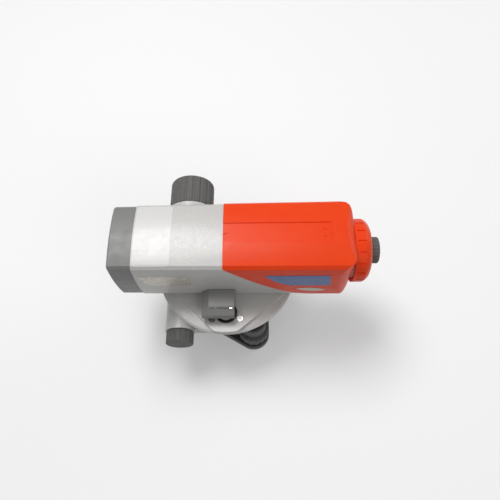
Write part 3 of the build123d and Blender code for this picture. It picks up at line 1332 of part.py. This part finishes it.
os.makedirs("parts", exist_ok=True)
make_base_plate()
make_spring_plate()
make_spring_plate_screws()
for foot_letter, foot_angle in FOOT_ANGLES.items():
    make_foot(foot_letter, foot_angle)
make_tribrach()
make_foot_bushes()
make_vertical_axis()
make_circle_ring()
make_worm_wheel()
make_worm_shaft()
make_tangent_bushes()
make_tangent_knobs()
make_main_housing()
make_axis_bush()
make_circle_window()
make_front_hood()
make_objective()
make_focus_tube()
make_focusing_cell()
make_focus_drive()
make_compensator_frame()
make_fixed_prisms()
make_pendulum()
make_reticle()
make_eyepiece()
make_reticle_cap()
make_rear_cover()
make_circular_level()
make_mirror()
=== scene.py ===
"""Looks of an automatic level: paint, plastics, rubber, glass, plates, graduation, light and camera.

+Z is up along the vertical axis and +X points to the eyepiece. Blender works in metres. Sizes and
places are written here in millimetres and turned into metres where a mesh or an object is made.
"""

import json
from math import cos, pi, radians, sin

import bmesh
import bpy
from mathutils import Matrix, Vector
from mathutils.bvhtree import BVHTree


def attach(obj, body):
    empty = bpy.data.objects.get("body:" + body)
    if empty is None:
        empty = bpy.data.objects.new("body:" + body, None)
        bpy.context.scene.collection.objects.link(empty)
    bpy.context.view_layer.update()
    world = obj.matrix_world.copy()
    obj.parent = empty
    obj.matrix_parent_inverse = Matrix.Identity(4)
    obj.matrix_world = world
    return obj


MM = 0.001

# Camera, in millimetres and degrees
CAMERA_AT = (25.0, -178.2, 464.7)
CAMERA_PITCH = 63.4
CAMERA_YAW = 1.3
CAMERA_ROLL = -1.8
CAMERA_FOCAL_PX = 480.0
CAMERA_NEAR = 10.0
FRAME_PX = 500.0
SENSOR_MM = 36.0

# Places outside the object, from which points are dropped onto it
ABOVE_Z = 200.0
BESIDE_Y = -100.0

# Plates and stickers
PLATE_T = 0.14
PLATE_LIFT = 0.05
PLATE_CELL = 1.5
CORNER_STEPS = 6
WHITE_LABEL_X = (-68.6, -40.1)
WHITE_LABEL_Y = (-26.9, 25.7)
WHITE_LABEL_CORNER = 2.6
FOIL_X = (-67.0, -25.6)
FOIL_Z = (106.5, 123.0)
FOIL_SLANT = 7.0
FOIL_CORNER = 7.0
BLUE_TIP = (31.4, 125.6)
BLUE_BEND = (42.0, 113.6)
BLUE_LOW_FRONT = (52.1, 107.2)
BLUE_LOW_REAR = (85.4, 106.6)
BLUE_TOP_X = 83.2
OVAL_MIDDLE = (70.6, 97.6)
OVAL_HALF = (12.4, 3.6)
OVAL_TILT = -8.0
OVAL_STEPS = 12
OVAL_CELL = 1.0

# Horizontal circle
CIRCLE_R = 53.0
CIRCLE_MARK_TOP_Z = 49.6
TICK_LENGTHS = {10: 2.4, 5: 1.8, 1: 1.2}
TICK_W = 0.16
TICK_T = 0.05
TICK_SUNK = 0.1
NUMERAL_H = 2.1
NUMERAL_Z = 45.1

# Circular level
VIAL_Y = -43.0
VIAL_TOP_Z = 76.6
VIAL_MARK_R = 2.6
VIAL_MARK_W = 0.22
VIAL_MARK_SUNK = 0.02
VIAL_MARK_T = 0.03
BUBBLE_R = 2.1
BUBBLE_FLATNESS = 0.08
BUBBLE_OFFSET = (0.3, -0.4, 0.04)

# Stage. Lamps are in metres and watts: name, place, target, width and power
FLOOR_HALF = 6000.0
FLOOR_GLOW = 0.20
FLOOR_BOUNCE = 0.35
FLOOR_FADE = (350.0, 1500.0)
WORLD_LIGHT = 0.30
LAMPS = (
    ("key", (-0.25, 0.35, 1.15), (0.0, 0.0, 0.08), 0.5, 7.8),
    ("fill", (0.7, -0.8, 0.8), (0.0, 0.0, 0.08), 0.7, 2.2),
    ("edge", (0.9, 0.5, 0.5), (0.03, 0.0, 0.1), 0.5, 1.2),
)

# Values between which most of a noise texture lies
NOISE_SPAN = (0.3, 0.7)

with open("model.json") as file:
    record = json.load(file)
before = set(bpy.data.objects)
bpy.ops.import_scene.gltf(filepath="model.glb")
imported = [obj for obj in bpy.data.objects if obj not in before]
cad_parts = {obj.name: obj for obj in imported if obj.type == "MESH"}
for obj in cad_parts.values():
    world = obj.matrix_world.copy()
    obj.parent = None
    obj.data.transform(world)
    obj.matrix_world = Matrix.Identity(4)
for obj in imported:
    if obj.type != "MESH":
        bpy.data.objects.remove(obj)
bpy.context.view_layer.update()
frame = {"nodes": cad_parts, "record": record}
nodes = frame["nodes"]


class Shader:
    """A node-based material in the making. Lengths in its textures are millimetres."""

    def __init__(self, name, color, roughness, **inputs):
        self.material = bpy.data.materials.new(name)
        self.material.use_nodes = True
        self.tree = self.material.node_tree
        self.bsdf = self.tree.nodes["Principled BSDF"]
        self.set("Base Color", (*color, 1.0))
        self.set("Roughness", roughness)
        for key, value in inputs.items():
            self.set(key.replace("_", " "), value)
        coordinates = self.tree.nodes.new("ShaderNodeTexCoord")
        scale = self.tree.nodes.new("ShaderNodeVectorMath")
        scale.operation = "SCALE"
        scale.inputs["Scale"].default_value = 1 / MM
        self.link(coordinates.outputs["Object"], scale.inputs[0])
        self.place = scale.outputs[0]
        self.height = None

    def set(self, name, value):
        self.bsdf.inputs[name].default_value = value

    def link(self, source, target):
        self.tree.links.new(source, target)

    def noise(self, size, detail=2.0, roughness=0.5, stretch=None):
        """Noise with features of about size millimetres."""
        texture = self.tree.nodes.new("ShaderNodeTexNoise")
        texture.inputs["Scale"].default_value = 1 / size
        texture.inputs["Detail"].default_value = detail
        texture.inputs["Roughness"].default_value = roughness
        place = self.place
        if stretch:
            squeeze = self.tree.nodes.new("ShaderNodeVectorMath")
            squeeze.operation = "MULTIPLY"
            squeeze.inputs[1].default_value = stretch
            self.link(place, squeeze.inputs[0])
            place = squeeze.outputs[0]
        self.link(place, texture.inputs["Vector"])
        return texture.outputs["Fac"]

    def remap(self, value, low, high, to_low=0.0, to_high=1.0):
        """Value between low and high, stretched to another range and clamped."""
        node = self.tree.nodes.new("ShaderNodeMapRange")
        for key, number in zip(("From Min", "From Max", "To Min", "To Max"),
                               (low, high, to_low, to_high)):
            node.inputs[key].default_value = number
        self.link(value, node.inputs["Value"])
        return node.outputs["Result"]

    def tint(self, share, color):
        """Mixes another colour over the base colour where share is high."""
        node = self.tree.nodes.new("ShaderNodeMix")
        node.data_type = "RGBA"
        base = self.bsdf.inputs["Base Color"]
        if base.is_linked:
            self.link(base.links[0].from_socket, node.inputs["A"])
        else:
            node.inputs["A"].default_value = base.default_value
        node.inputs["B"].default_value = (*color, 1.0)
        self.link(share, node.inputs["Factor"])
        self.link(node.outputs["Result"], base)

    def vary_roughness(self, value, low, high):
        """Roughness that follows a texture between two values."""
        self.link(self.remap(value, *NOISE_SPAN, low, high), self.bsdf.inputs["Roughness"])

    def bump(self, value, depth, strength=1.0):
        """Adds relief of depth millimetres."""
        node = self.tree.nodes.new("ShaderNodeBump")
        node.inputs["Strength"].default_value = strength
        node.inputs["Distance"].default_value = depth * MM
        self.link(value, node.inputs["Height"])
        if self.height is not None:
            self.link(self.height, node.inputs["Normal"])
        self.height = node.outputs["Normal"]
        self.link(self.height, self.bsdf.inputs["Normal"])


def body_paint():
    """Light grey paint with an orange-peel grain on cast aluminium, with painted sparkle highlights as
    lighter specks on the grain's peaks.
    """
    paint = Shader("body_paint", (0.56, 0.552, 0.535), 0.36, Coat_Weight=0.25,
                   Coat_Roughness=0.18, Specular_IOR_Level=0.55)
    grain = paint.noise(size=1.5, detail=3.0, roughness=0.55)
    patches = paint.noise(size=9.0, detail=4.0, roughness=0.6)
    paint.bump(grain, depth=0.32, strength=0.55)
    paint.bump(paint.noise(size=0.45), depth=0.05, strength=0.5)
    paint.tint(paint.remap(patches, 0.35, 0.8, to_high=0.35), (0.60, 0.592, 0.575))
    # Painted highlights: lighter specks where the orange-peel grain is high stand in for the paint's
    # sparkle glints.
    paint.tint(paint.remap(grain, 0.56, 0.72, to_high=0.4), (0.70, 0.69, 0.67))
    paint.vary_roughness(paint.noise(size=2.6, detail=3.0), 0.30, 0.44)
    return paint.material


def moulded(name, color, shade, roughness, grain=0.5, depth=0.02, **inputs):
    """Moulded plastic with a fine spark-eroded grain and slight changes of tone."""
    plastic = Shader(name, color, roughness, **inputs)
    plastic.bump(plastic.noise(size=grain, detail=3.0, roughness=0.6), depth, strength=0.6)
    clouds = plastic.noise(size=22.0, detail=3.0)
    plastic.tint(plastic.remap(clouds, 0.4, 0.75, to_high=0.5), shade)
    plastic.vary_roughness(plastic.noise(size=6.0, detail=4.0), roughness - 0.05, roughness + 0.08)
    return plastic.material


def rubber():
    """Matt dark grey rubber, a little dusty in places."""
    grip = Shader("knob_rubber", (0.120, 0.118, 0.115), 0.62, Specular_IOR_Level=0.3)
    dust = grip.noise(size=4.0, detail=5.0, roughness=0.65)
    grip.bump(grip.noise(size=0.5, detail=3.0, roughness=0.6), depth=0.04, strength=0.7)
    grip.tint(grip.remap(dust, 0.5, 0.8, to_high=0.5), (0.17, 0.168, 0.164))
    grip.vary_roughness(grip.noise(size=3.0, detail=3.0), 0.55, 0.72)
    return grip.material


def turned(name, color, roughness, **inputs):
    """Machined metal with fine tool marks."""
    metal = Shader(name, color, roughness, Metallic=1.0, **inputs)
    metal.bump(metal.noise(size=0.6, stretch=(0.15, 0.15, 3.0)), depth=0.01, strength=0.5)
    metal.vary_roughness(metal.noise(size=3.0, detail=3.0), roughness - 0.06, roughness + 0.08)
    return metal.material


def painted_black():
    """Satin black paint on the cast base."""
    paint = Shader("base_metal", (0.045, 0.047, 0.05), 0.42)
    rubbed = paint.noise(size=5.0, detail=5.0, roughness=0.65)
    paint.bump(paint.noise(size=0.9, detail=3.0, roughness=0.55), depth=0.06, strength=0.6)
    paint.tint(paint.remap(rubbed, 0.55, 0.85, to_high=0.45), (0.10, 0.10, 0.098))
    paint.vary_roughness(paint.noise(size=2.5, detail=3.0), 0.36, 0.52)
    return paint.material


def anodised():
    """Black anodised aluminium."""
    finish = Shader("black_anodised", (0.012, 0.012, 0.013), 0.34, Specular_IOR_Level=0.6)
    finish.bump(finish.noise(size=0.4), depth=0.01, strength=0.4)
    finish.vary_roughness(finish.noise(size=2.0, detail=3.0), 0.28, 0.42)
    return finish.material


def glass(name, color, roughness, **inputs):
    """Clear glass or acrylic under a thin glossy coat."""
    clear = Shader(name, color, roughness, Transmission_Weight=1.0, **inputs)
    smudges = clear.noise(size=9.0, detail=4.0, roughness=0.6)
    clear.tint(clear.remap(smudges, 0.55, 0.8, to_high=0.3), (0.9, 0.93, 0.95))
    return clear.material


def vial_liquid():
    """Glass vial filled with pale spirit."""
    vial = Shader("vial_glass", (0.66, 0.68, 0.47), 0.12, Coat_Weight=1.0, Coat_Roughness=0.03,
                  Subsurface_Weight=0.3, Subsurface_Scale=0.004)
    vial.tint(vial.remap(vial.noise(size=4.0), 0.4, 0.7, to_high=0.5), (0.78, 0.77, 0.60))
    return vial.material


def foil():
    """Silvery foil sticker, a little crinkled and rubbed."""
    film = Shader("foil", (0.52, 0.49, 0.45), 0.30, Metallic=0.75)
    creases = film.noise(size=3.0, detail=5.0, roughness=0.65, stretch=(0.6, 1.0, 1.4))
    rubbed = film.noise(size=2.2, detail=5.0, roughness=0.7, stretch=(0.5, 1.0, 2.0))
    film.bump(creases, depth=0.12, strength=0.8)
    film.tint(film.remap(rubbed, 0.5, 0.72, to_high=0.8), (0.20, 0.17, 0.14))
    film.vary_roughness(film.noise(size=1.6, detail=4.0), 0.22, 0.5)
    return film.material


def vinyl(name, color, roughness=0.34, scuff=(0.6, 0.6, 0.6)):
    """Printed vinyl plate with light scuffs."""
    film = Shader(name, color, roughness, Coat_Weight=0.2, Coat_Roughness=0.15)
    film.bump(film.noise(size=7.0, detail=3.0), depth=0.05, strength=0.4)
    worn = film.noise(size=3.0, detail=6.0, roughness=0.7)
    film.tint(film.remap(worn, 0.6, 0.85, to_high=0.25), scuff)
    film.vary_roughness(film.noise(size=4.0, detail=4.0), roughness - 0.05, roughness + 0.08)
    return film.material


FINISHES = {
    "base_metal": painted_black(),
    "spring_steel": turned("spring_steel", (0.58, 0.58, 0.56), 0.26),
    "screw_steel": turned("screw_steel", (0.55, 0.55, 0.54), 0.30),
    "knob_rubber": rubber(),
    "body_paint": body_paint(),
    "hood_plastic": moulded("hood_plastic", (0.190, 0.190, 0.187), (0.215, 0.215, 0.21), 0.42),
    "mirror_plastic": moulded("mirror_plastic", (0.215, 0.214, 0.208), (0.25, 0.248, 0.24), 0.40),
    "cover_plastic": moulded("cover_plastic", (0.88, 0.052, 0.002), (0.90, 0.070, 0.003), 0.33,
                             grain=0.7, depth=0.03, Specular_IOR_Level=0.22),
    "black_anodised": anodised(),
    "plain_aluminium": turned("plain_aluminium", (0.72, 0.72, 0.73), 0.28),
    "brass": turned("brass", (0.72, 0.55, 0.26), 0.28),
    "lens_glass": glass("lens_glass", (0.80, 0.88, 0.93), 0.0, IOR=1.2, Coat_Weight=1.0,
                        Coat_Roughness=0.0, Coat_Tint=(0.80, 0.92, 0.88, 1.0)),
    "clear_glass": glass("clear_glass", (0.96, 0.98, 0.97), 0.0, IOR=1.04, Coat_Weight=1.0,
                         Coat_Roughness=0.02),
    "vial_glass": vial_liquid(),
    "mirror": turned("mirror", (0.92, 0.92, 0.92), 0.06),
    "magnet": turned("magnet", (0.40, 0.40, 0.42), 0.30),
}


def dress_frame():
    """Gives every CAD node the finish of its material slot."""
    for row in frame["record"]["subparts"]:
        node = nodes[row["node"]]
        node.data.materials.clear()
        node.data.materials.append(FINISHES[row["material_slot"]])


def new_piece(name, verts, faces, material, body, smooth=False):
    """Mesh object from points in millimetres, riding on a body."""
    mesh = bpy.data.meshes.new(name)
    mesh.from_pydata([Vector(v) * MM for v in verts], [], faces)
    mesh.update()
    piece = bpy.data.objects.new(name, mesh)
    bpy.context.scene.collection.objects.link(piece)
    mesh.materials.append(material)
    if smooth:
        mesh.polygons.foreach_set("use_smooth", [True] * len(mesh.polygons))
    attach(piece, body)
    return piece


def surface_of(node):
    """Function that drops a point in millimetres onto a node's surface along a direction."""
    mesh = nodes[node].data
    tree = BVHTree.FromPolygons([v.co for v in mesh.vertices], [p.vertices for p in mesh.polygons])

    def drop(point, direction):
        hit, normal, _, _ = tree.ray_cast(Vector(point) * MM, Vector(direction))
        return hit / MM, normal
    return drop


def arc_points(centre, radius, start, end, steps):
    """Points along an arc, angles in degrees."""
    turns = [radians(start + (end - start) * i / steps) for i in range(steps + 1)]
    return [(centre[0] + radius * cos(t), centre[1] + radius * sin(t)) for t in turns]


def rounded_outline(low, high, radius, steps=CORNER_STEPS):
    """Rectangle with rounded corners."""
    (u0, v0), (u1, v1) = low, high
    corners = (
        ((u1 - radius, v0 + radius), -90), ((u1 - radius, v1 - radius), 0),
        ((u0 + radius, v1 - radius), 90), ((u0 + radius, v0 + radius), 180),
    )
    points = []
    for centre, start in corners:
        points += arc_points(centre, radius, start, start + 90, steps)
    return points


def plate(name, outline, node, to_point, direction, material, body, cell=PLATE_CELL):
    """Thin plate that follows the surface of a node inside an outline drawn in a flat view."""
    drop = surface_of(node)
    sheet = bmesh.new()
    face = sheet.faces.new([sheet.verts.new((u, v, 0)) for u, v in outline])
    low = [min(p[i] for p in outline) for i in (0, 1)]
    high = [max(p[i] for p in outline) for i in (0, 1)]
    for axis in (0, 1):
        cuts = int((high[axis] - low[axis]) / cell)
        for i in range(1, cuts):
            place = [0.0, 0.0, 0.0]
            place[axis] = low[axis] + (high[axis] - low[axis]) * i / cuts
            normal = [0.0, 0.0, 0.0]
            normal[axis] = 1.0
            bmesh.ops.bisect_plane(sheet, geom=sheet.verts[:] + sheet.edges[:] + sheet.faces[:],
                                   plane_co=place, plane_no=normal)
    sheet.verts.index_update()
    top, bottom = [], []
    for vert in sheet.verts:
        hit, normal = drop(to_point(vert.co.x, vert.co.y), direction)
        if normal.dot(Vector(direction)) > 0:
            normal = -normal
        bottom.append(hit + normal * PLATE_LIFT)
        top.append(hit + normal * (PLATE_LIFT + PLATE_T))
    count = len(top)
    upper = [[v.index for v in f.verts] for f in sheet.faces]
    walls = [
        [e.verts[0].index, e.verts[1].index, e.verts[1].index + count, e.verts[0].index + count]
        for e in sheet.edges if len(e.link_faces) == 1
    ]
    lower = [[i + count for i in reversed(f)] for f in upper]
    piece = new_piece(name, top + bottom, upper + lower + walls, material, body)
    tidy = bmesh.new()
    tidy.from_mesh(piece.data)
    bmesh.ops.recalc_face_normals(tidy, faces=tidy.faces)
    tidy.to_mesh(piece.data)
    tidy.free()
    sheet.free()
    return piece


def over(x, y):
    """Point above the object."""
    return x, y, ABOVE_Z


def beside(x, z):
    """Point beside the object, on the side of the circular level."""
    return x, BESIDE_Y, z


def make_plates():
    """Bare plates and stickers where the telescope carries them."""
    down, across = (0, 0, -1), (0, 1, 0)
    outline = rounded_outline((WHITE_LABEL_X[0], WHITE_LABEL_Y[0]),
                              (WHITE_LABEL_X[1], WHITE_LABEL_Y[1]), WHITE_LABEL_CORNER)
    plate("white_plate", outline, "main_housing", over, down,
          vinyl("white_vinyl", (0.70, 0.692, 0.675)), "level_head")
    corner = (FOIL_X[1] - FOIL_CORNER, FOIL_Z[1] - FOIL_CORNER)
    foil_shape = [
        (FOIL_X[0] + FOIL_SLANT, FOIL_Z[0]),
        (FOIL_X[1], FOIL_Z[0]),
        *arc_points(corner, FOIL_CORNER, 0, 90, CORNER_STEPS),
        (FOIL_X[0], FOIL_Z[1]),
    ]
    plate("foil_sticker", foil_shape, "main_housing", beside, across, foil(), "level_head")
    blue_shape = [BLUE_TIP, BLUE_BEND, BLUE_LOW_FRONT, BLUE_LOW_REAR, (BLUE_TOP_X, BLUE_TIP[1])]
    plate("blue_plate", blue_shape, "rear_cover", beside, across,
          vinyl("blue_vinyl", (0.012, 0.085, 0.30), 0.30, (0.05, 0.13, 0.36)), "level_head")
    turn = radians(OVAL_TILT)
    tip_r = (OVAL_HALF[0] ** 2 + OVAL_HALF[1] ** 2) / (2 * OVAL_HALF[1])
    half_turn = Vector((OVAL_HALF[0], tip_r - OVAL_HALF[1])).angle(Vector((0, 1)))
    lens = []
    for side in (-1, 1):
        for i in range(OVAL_STEPS):
            t = -half_turn + 2 * half_turn * i / OVAL_STEPS
            lens.append((side * tip_r * sin(t), side * (tip_r * cos(t) - tip_r + OVAL_HALF[1])))
    oval = [
        (OVAL_MIDDLE[0] + u * cos(turn) - v * sin(turn), OVAL_MIDDLE[1] + u * sin(turn) + v * cos(turn))
        for u, v in lens
    ]
    plate("pale_oval", oval, "rear_cover", beside, across,
          vinyl("pale_vinyl", (0.62, 0.66, 0.55), 0.32), "level_head", cell=OVAL_CELL)


def make_circle_marks():
    """Degree ticks and numerals round the rim of the horizontal circle."""
    white = vinyl("dial_white", (0.72, 0.72, 0.70), 0.5)
    verts, faces = [], []
    radius = CIRCLE_R + TICK_T
    for degree in range(360):
        length = next(TICK_LENGTHS[step] for step in (10, 5, 1) if degree % step == 0)
        half = TICK_W / 2 / CIRCLE_R
        turn = radians(degree)
        corners = []
        for r in (CIRCLE_R - TICK_SUNK, radius):
            for t in (turn - half, turn + half):
                for z in (CIRCLE_MARK_TOP_Z - length, CIRCLE_MARK_TOP_Z):
                    corners.append((r * cos(t), r * sin(t), z))
        start = len(verts)
        verts += corners
        faces += [[start + i for i in f] for f in (
            (4, 6, 7, 5), (0, 1, 3, 2), (0, 4, 5, 1), (2, 3, 7, 6), (1, 5, 7, 3), (0, 2, 6, 4))]
    new_piece("circle_ticks", verts, faces, white, "circle")
    for degree in range(0, 360, 10):
        curve = bpy.data.curves.new(f"circle_numeral_{degree}", "FONT")
        curve.body = str(degree)
        curve.size = NUMERAL_H * MM
        curve.extrude = TICK_T * MM
        curve.align_x, curve.align_y = "CENTER", "CENTER"
        numeral = bpy.data.objects.new(f"circle_numeral_{degree}", curve)
        bpy.context.scene.collection.objects.link(numeral)
        turn = radians(degree)
        facing = Matrix((
            (-sin(turn), 0, cos(turn), CIRCLE_R * cos(turn) * MM),
            (cos(turn), 0, sin(turn), CIRCLE_R * sin(turn) * MM),
            (0, 1, 0, NUMERAL_Z * MM),
            (0, 0, 0, 1),
        ))
        numeral.matrix_world = facing
        curve.materials.append(white)
        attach(numeral, "circle")


def ring_mesh(centre, outer, inner, low, high, steps=64):
    """Flat ring as vertices and faces."""
    verts, faces = [], []
    for i in range(steps):
        t = 2 * pi * i / steps
        for r, z in ((inner, low), (outer, low), (outer, high), (inner, high)):
            verts.append((centre[0] + r * cos(t), centre[1] + r * sin(t), z))
    for i in range(steps):
        a, b = 4 * i, 4 * ((i + 1) % steps)
        for j in range(4):
            k = (j + 1) % 4
            faces.append([a + j, a + k, b + k, b + j])
    return verts, faces


def make_bubble():
    """Ring mark and bubble on the circular level."""
    verts, faces = ring_mesh((0, VIAL_Y), VIAL_MARK_R + VIAL_MARK_W, VIAL_MARK_R,
                             VIAL_TOP_Z - VIAL_MARK_SUNK, VIAL_TOP_Z + VIAL_MARK_T)
    dark = vinyl("mark_black", (0.02, 0.02, 0.02), 0.5)
    new_piece("vial_ring_mark", verts, faces, dark, "level_head")
    bubble = bmesh.new()
    bmesh.ops.create_uvsphere(bubble, u_segments=32, v_segments=16, radius=BUBBLE_R)
    for vert in bubble.verts:
        vert.co.z *= BUBBLE_FLATNESS
        vert.co += Vector((0, VIAL_Y, VIAL_TOP_Z)) + Vector(BUBBLE_OFFSET)
    mesh_verts = [v.co.copy() for v in bubble.verts]
    mesh_faces = [[v.index for v in f.verts] for f in bubble.faces]
    bubble.free()
    pale = Shader("bubble", (0.86, 0.87, 0.74), 0.08, Coat_Weight=1.0, Coat_Roughness=0.03)
    pale.tint(pale.remap(pale.noise(size=2.0), 0.4, 0.7, to_high=0.4), (0.93, 0.93, 0.86))
    new_piece("vial_bubble", mesh_verts, mesh_faces, pale.material, "level_head", True)


def seen_rays(tree):
    """1 for rays that come from the camera, a reflection or glass, 0 for light that bounces."""
    path = tree.nodes.new("ShaderNodeLightPath")
    shown = path.outputs["Is Camera Ray"]
    for name in ("Is Glossy Ray", "Is Transmission Ray"):
        either = tree.nodes.new("ShaderNodeMath")
        either.operation = "MAXIMUM"
        tree.links.new(shown, either.inputs[0])
        tree.links.new(path.outputs[name], either.inputs[1])
        shown = either.outputs[0]
    return shown


def mix_shaders(tree, share, first, second):
    """Shader that goes from the first to the second as share goes from 0 to 1."""
    mix = tree.nodes.new("ShaderNodeMixShader")
    tree.links.new(share, mix.inputs[0])
    tree.links.new(first, mix.inputs[1])
    tree.links.new(second, mix.inputs[2])
    return mix.outputs[0]


def floor_paint():
    """Pale floor that fades to white far out, and gives back less light than the eye sees."""
    pale = Shader("floor", (0.84, 0.84, 0.84), 0.7, Emission_Color=(1, 1, 1, 1),
                  Emission_Strength=FLOOR_GLOW, Specular_IOR_Level=0.1)
    tree = pale.tree
    reach = tree.nodes.new("ShaderNodeVectorMath")
    reach.operation = "LENGTH"
    pale.link(pale.place, reach.inputs[0])
    far = pale.remap(reach.outputs["Value"], *FLOOR_FADE)
    white = tree.nodes.new("ShaderNodeEmission")
    dull = tree.nodes.new("ShaderNodeBsdfDiffuse")
    dull.inputs["Color"].default_value = (FLOOR_BOUNCE, FLOOR_BOUNCE, FLOOR_BOUNCE, 1)
    fade = mix_shaders(tree, far, pale.bsdf.outputs[0], white.outputs[0])
    whole = mix_shaders(tree, seen_rays(tree), dull.outputs[0], fade)
    pale.link(whole, tree.nodes["Material Output"].inputs["Surface"])
    return pale.material


def make_stage():
    """Pale floor, white surroundings and soft studio light."""
    floor_mesh = bpy.data.meshes.new("floor")
    size = FLOOR_HALF * MM
    floor_mesh.from_pydata([(-size, -size, 0), (size, -size, 0), (size, size, 0), (-size, size, 0)],
                           [], [(0, 1, 2, 3)])
    floor = bpy.data.objects.new("floor", floor_mesh)
    bpy.context.scene.collection.objects.link(floor)
    floor_mesh.materials.append(floor_paint())

    world = bpy.data.worlds.new("studio")
    world.use_nodes = True
    bpy.context.scene.world = world
    tree = world.node_tree
    strength = tree.nodes.new("ShaderNodeMapRange")
    strength.inputs["To Min"].default_value = WORLD_LIGHT
    strength.inputs["To Max"].default_value = 1.0
    tree.links.new(seen_rays(tree), strength.inputs["Value"])
    tree.links.new(strength.outputs["Result"], tree.nodes["Background"].inputs["Strength"])
    tree.nodes["Background"].inputs["Color"].default_value = (1.0, 1.0, 1.0, 1.0)

    for name, place, target, width, power in LAMPS:
        lamp = bpy.data.lights.new(name, "AREA")
        lamp.size = width
        lamp.energy = power
        holder = bpy.data.objects.new(name, lamp)
        holder.location = place
        aim = Vector(target) - Vector(place)
        holder.rotation_euler = aim.to_track_quat("-Z", "Y").to_euler()
        bpy.context.scene.collection.objects.link(holder)


def make_camera():
    """Camera at the photograph's viewing angle."""
    pitch, yaw, roll = radians(CAMERA_PITCH), radians(CAMERA_YAW), radians(CAMERA_ROLL)
    flat_ahead = Vector((-sin(yaw), cos(yaw), 0))
    right = Vector((cos(yaw), sin(yaw), 0))
    ahead = flat_ahead * cos(pitch) - Vector((0, 0, sin(pitch)))
    up = flat_ahead * sin(pitch) + Vector((0, 0, cos(pitch)))
    turned_right = right * cos(roll) + up * sin(roll)
    turned_up = up * cos(roll) - right * sin(roll)
    camera_data = bpy.data.cameras.new("camera")
    camera_data.sensor_width = SENSOR_MM
    camera_data.lens = SENSOR_MM * CAMERA_FOCAL_PX / FRAME_PX
    camera_data.clip_start = CAMERA_NEAR * MM
    camera = bpy.data.objects.new("camera", camera_data)
    axes = Matrix((turned_right, turned_up, -ahead)).transposed().to_4x4()
    camera.matrix_world = Matrix.Translation(Vector(CAMERA_AT) * MM) @ axes
    bpy.context.scene.collection.objects.link(camera)
    bpy.context.scene.camera = camera


dress_frame()
make_plates()
make_circle_marks()
make_bubble()
make_stage()
make_camera()
bpy.context.scene.view_settings.view_transform = "Standard"
bpy.context.view_layer.update()
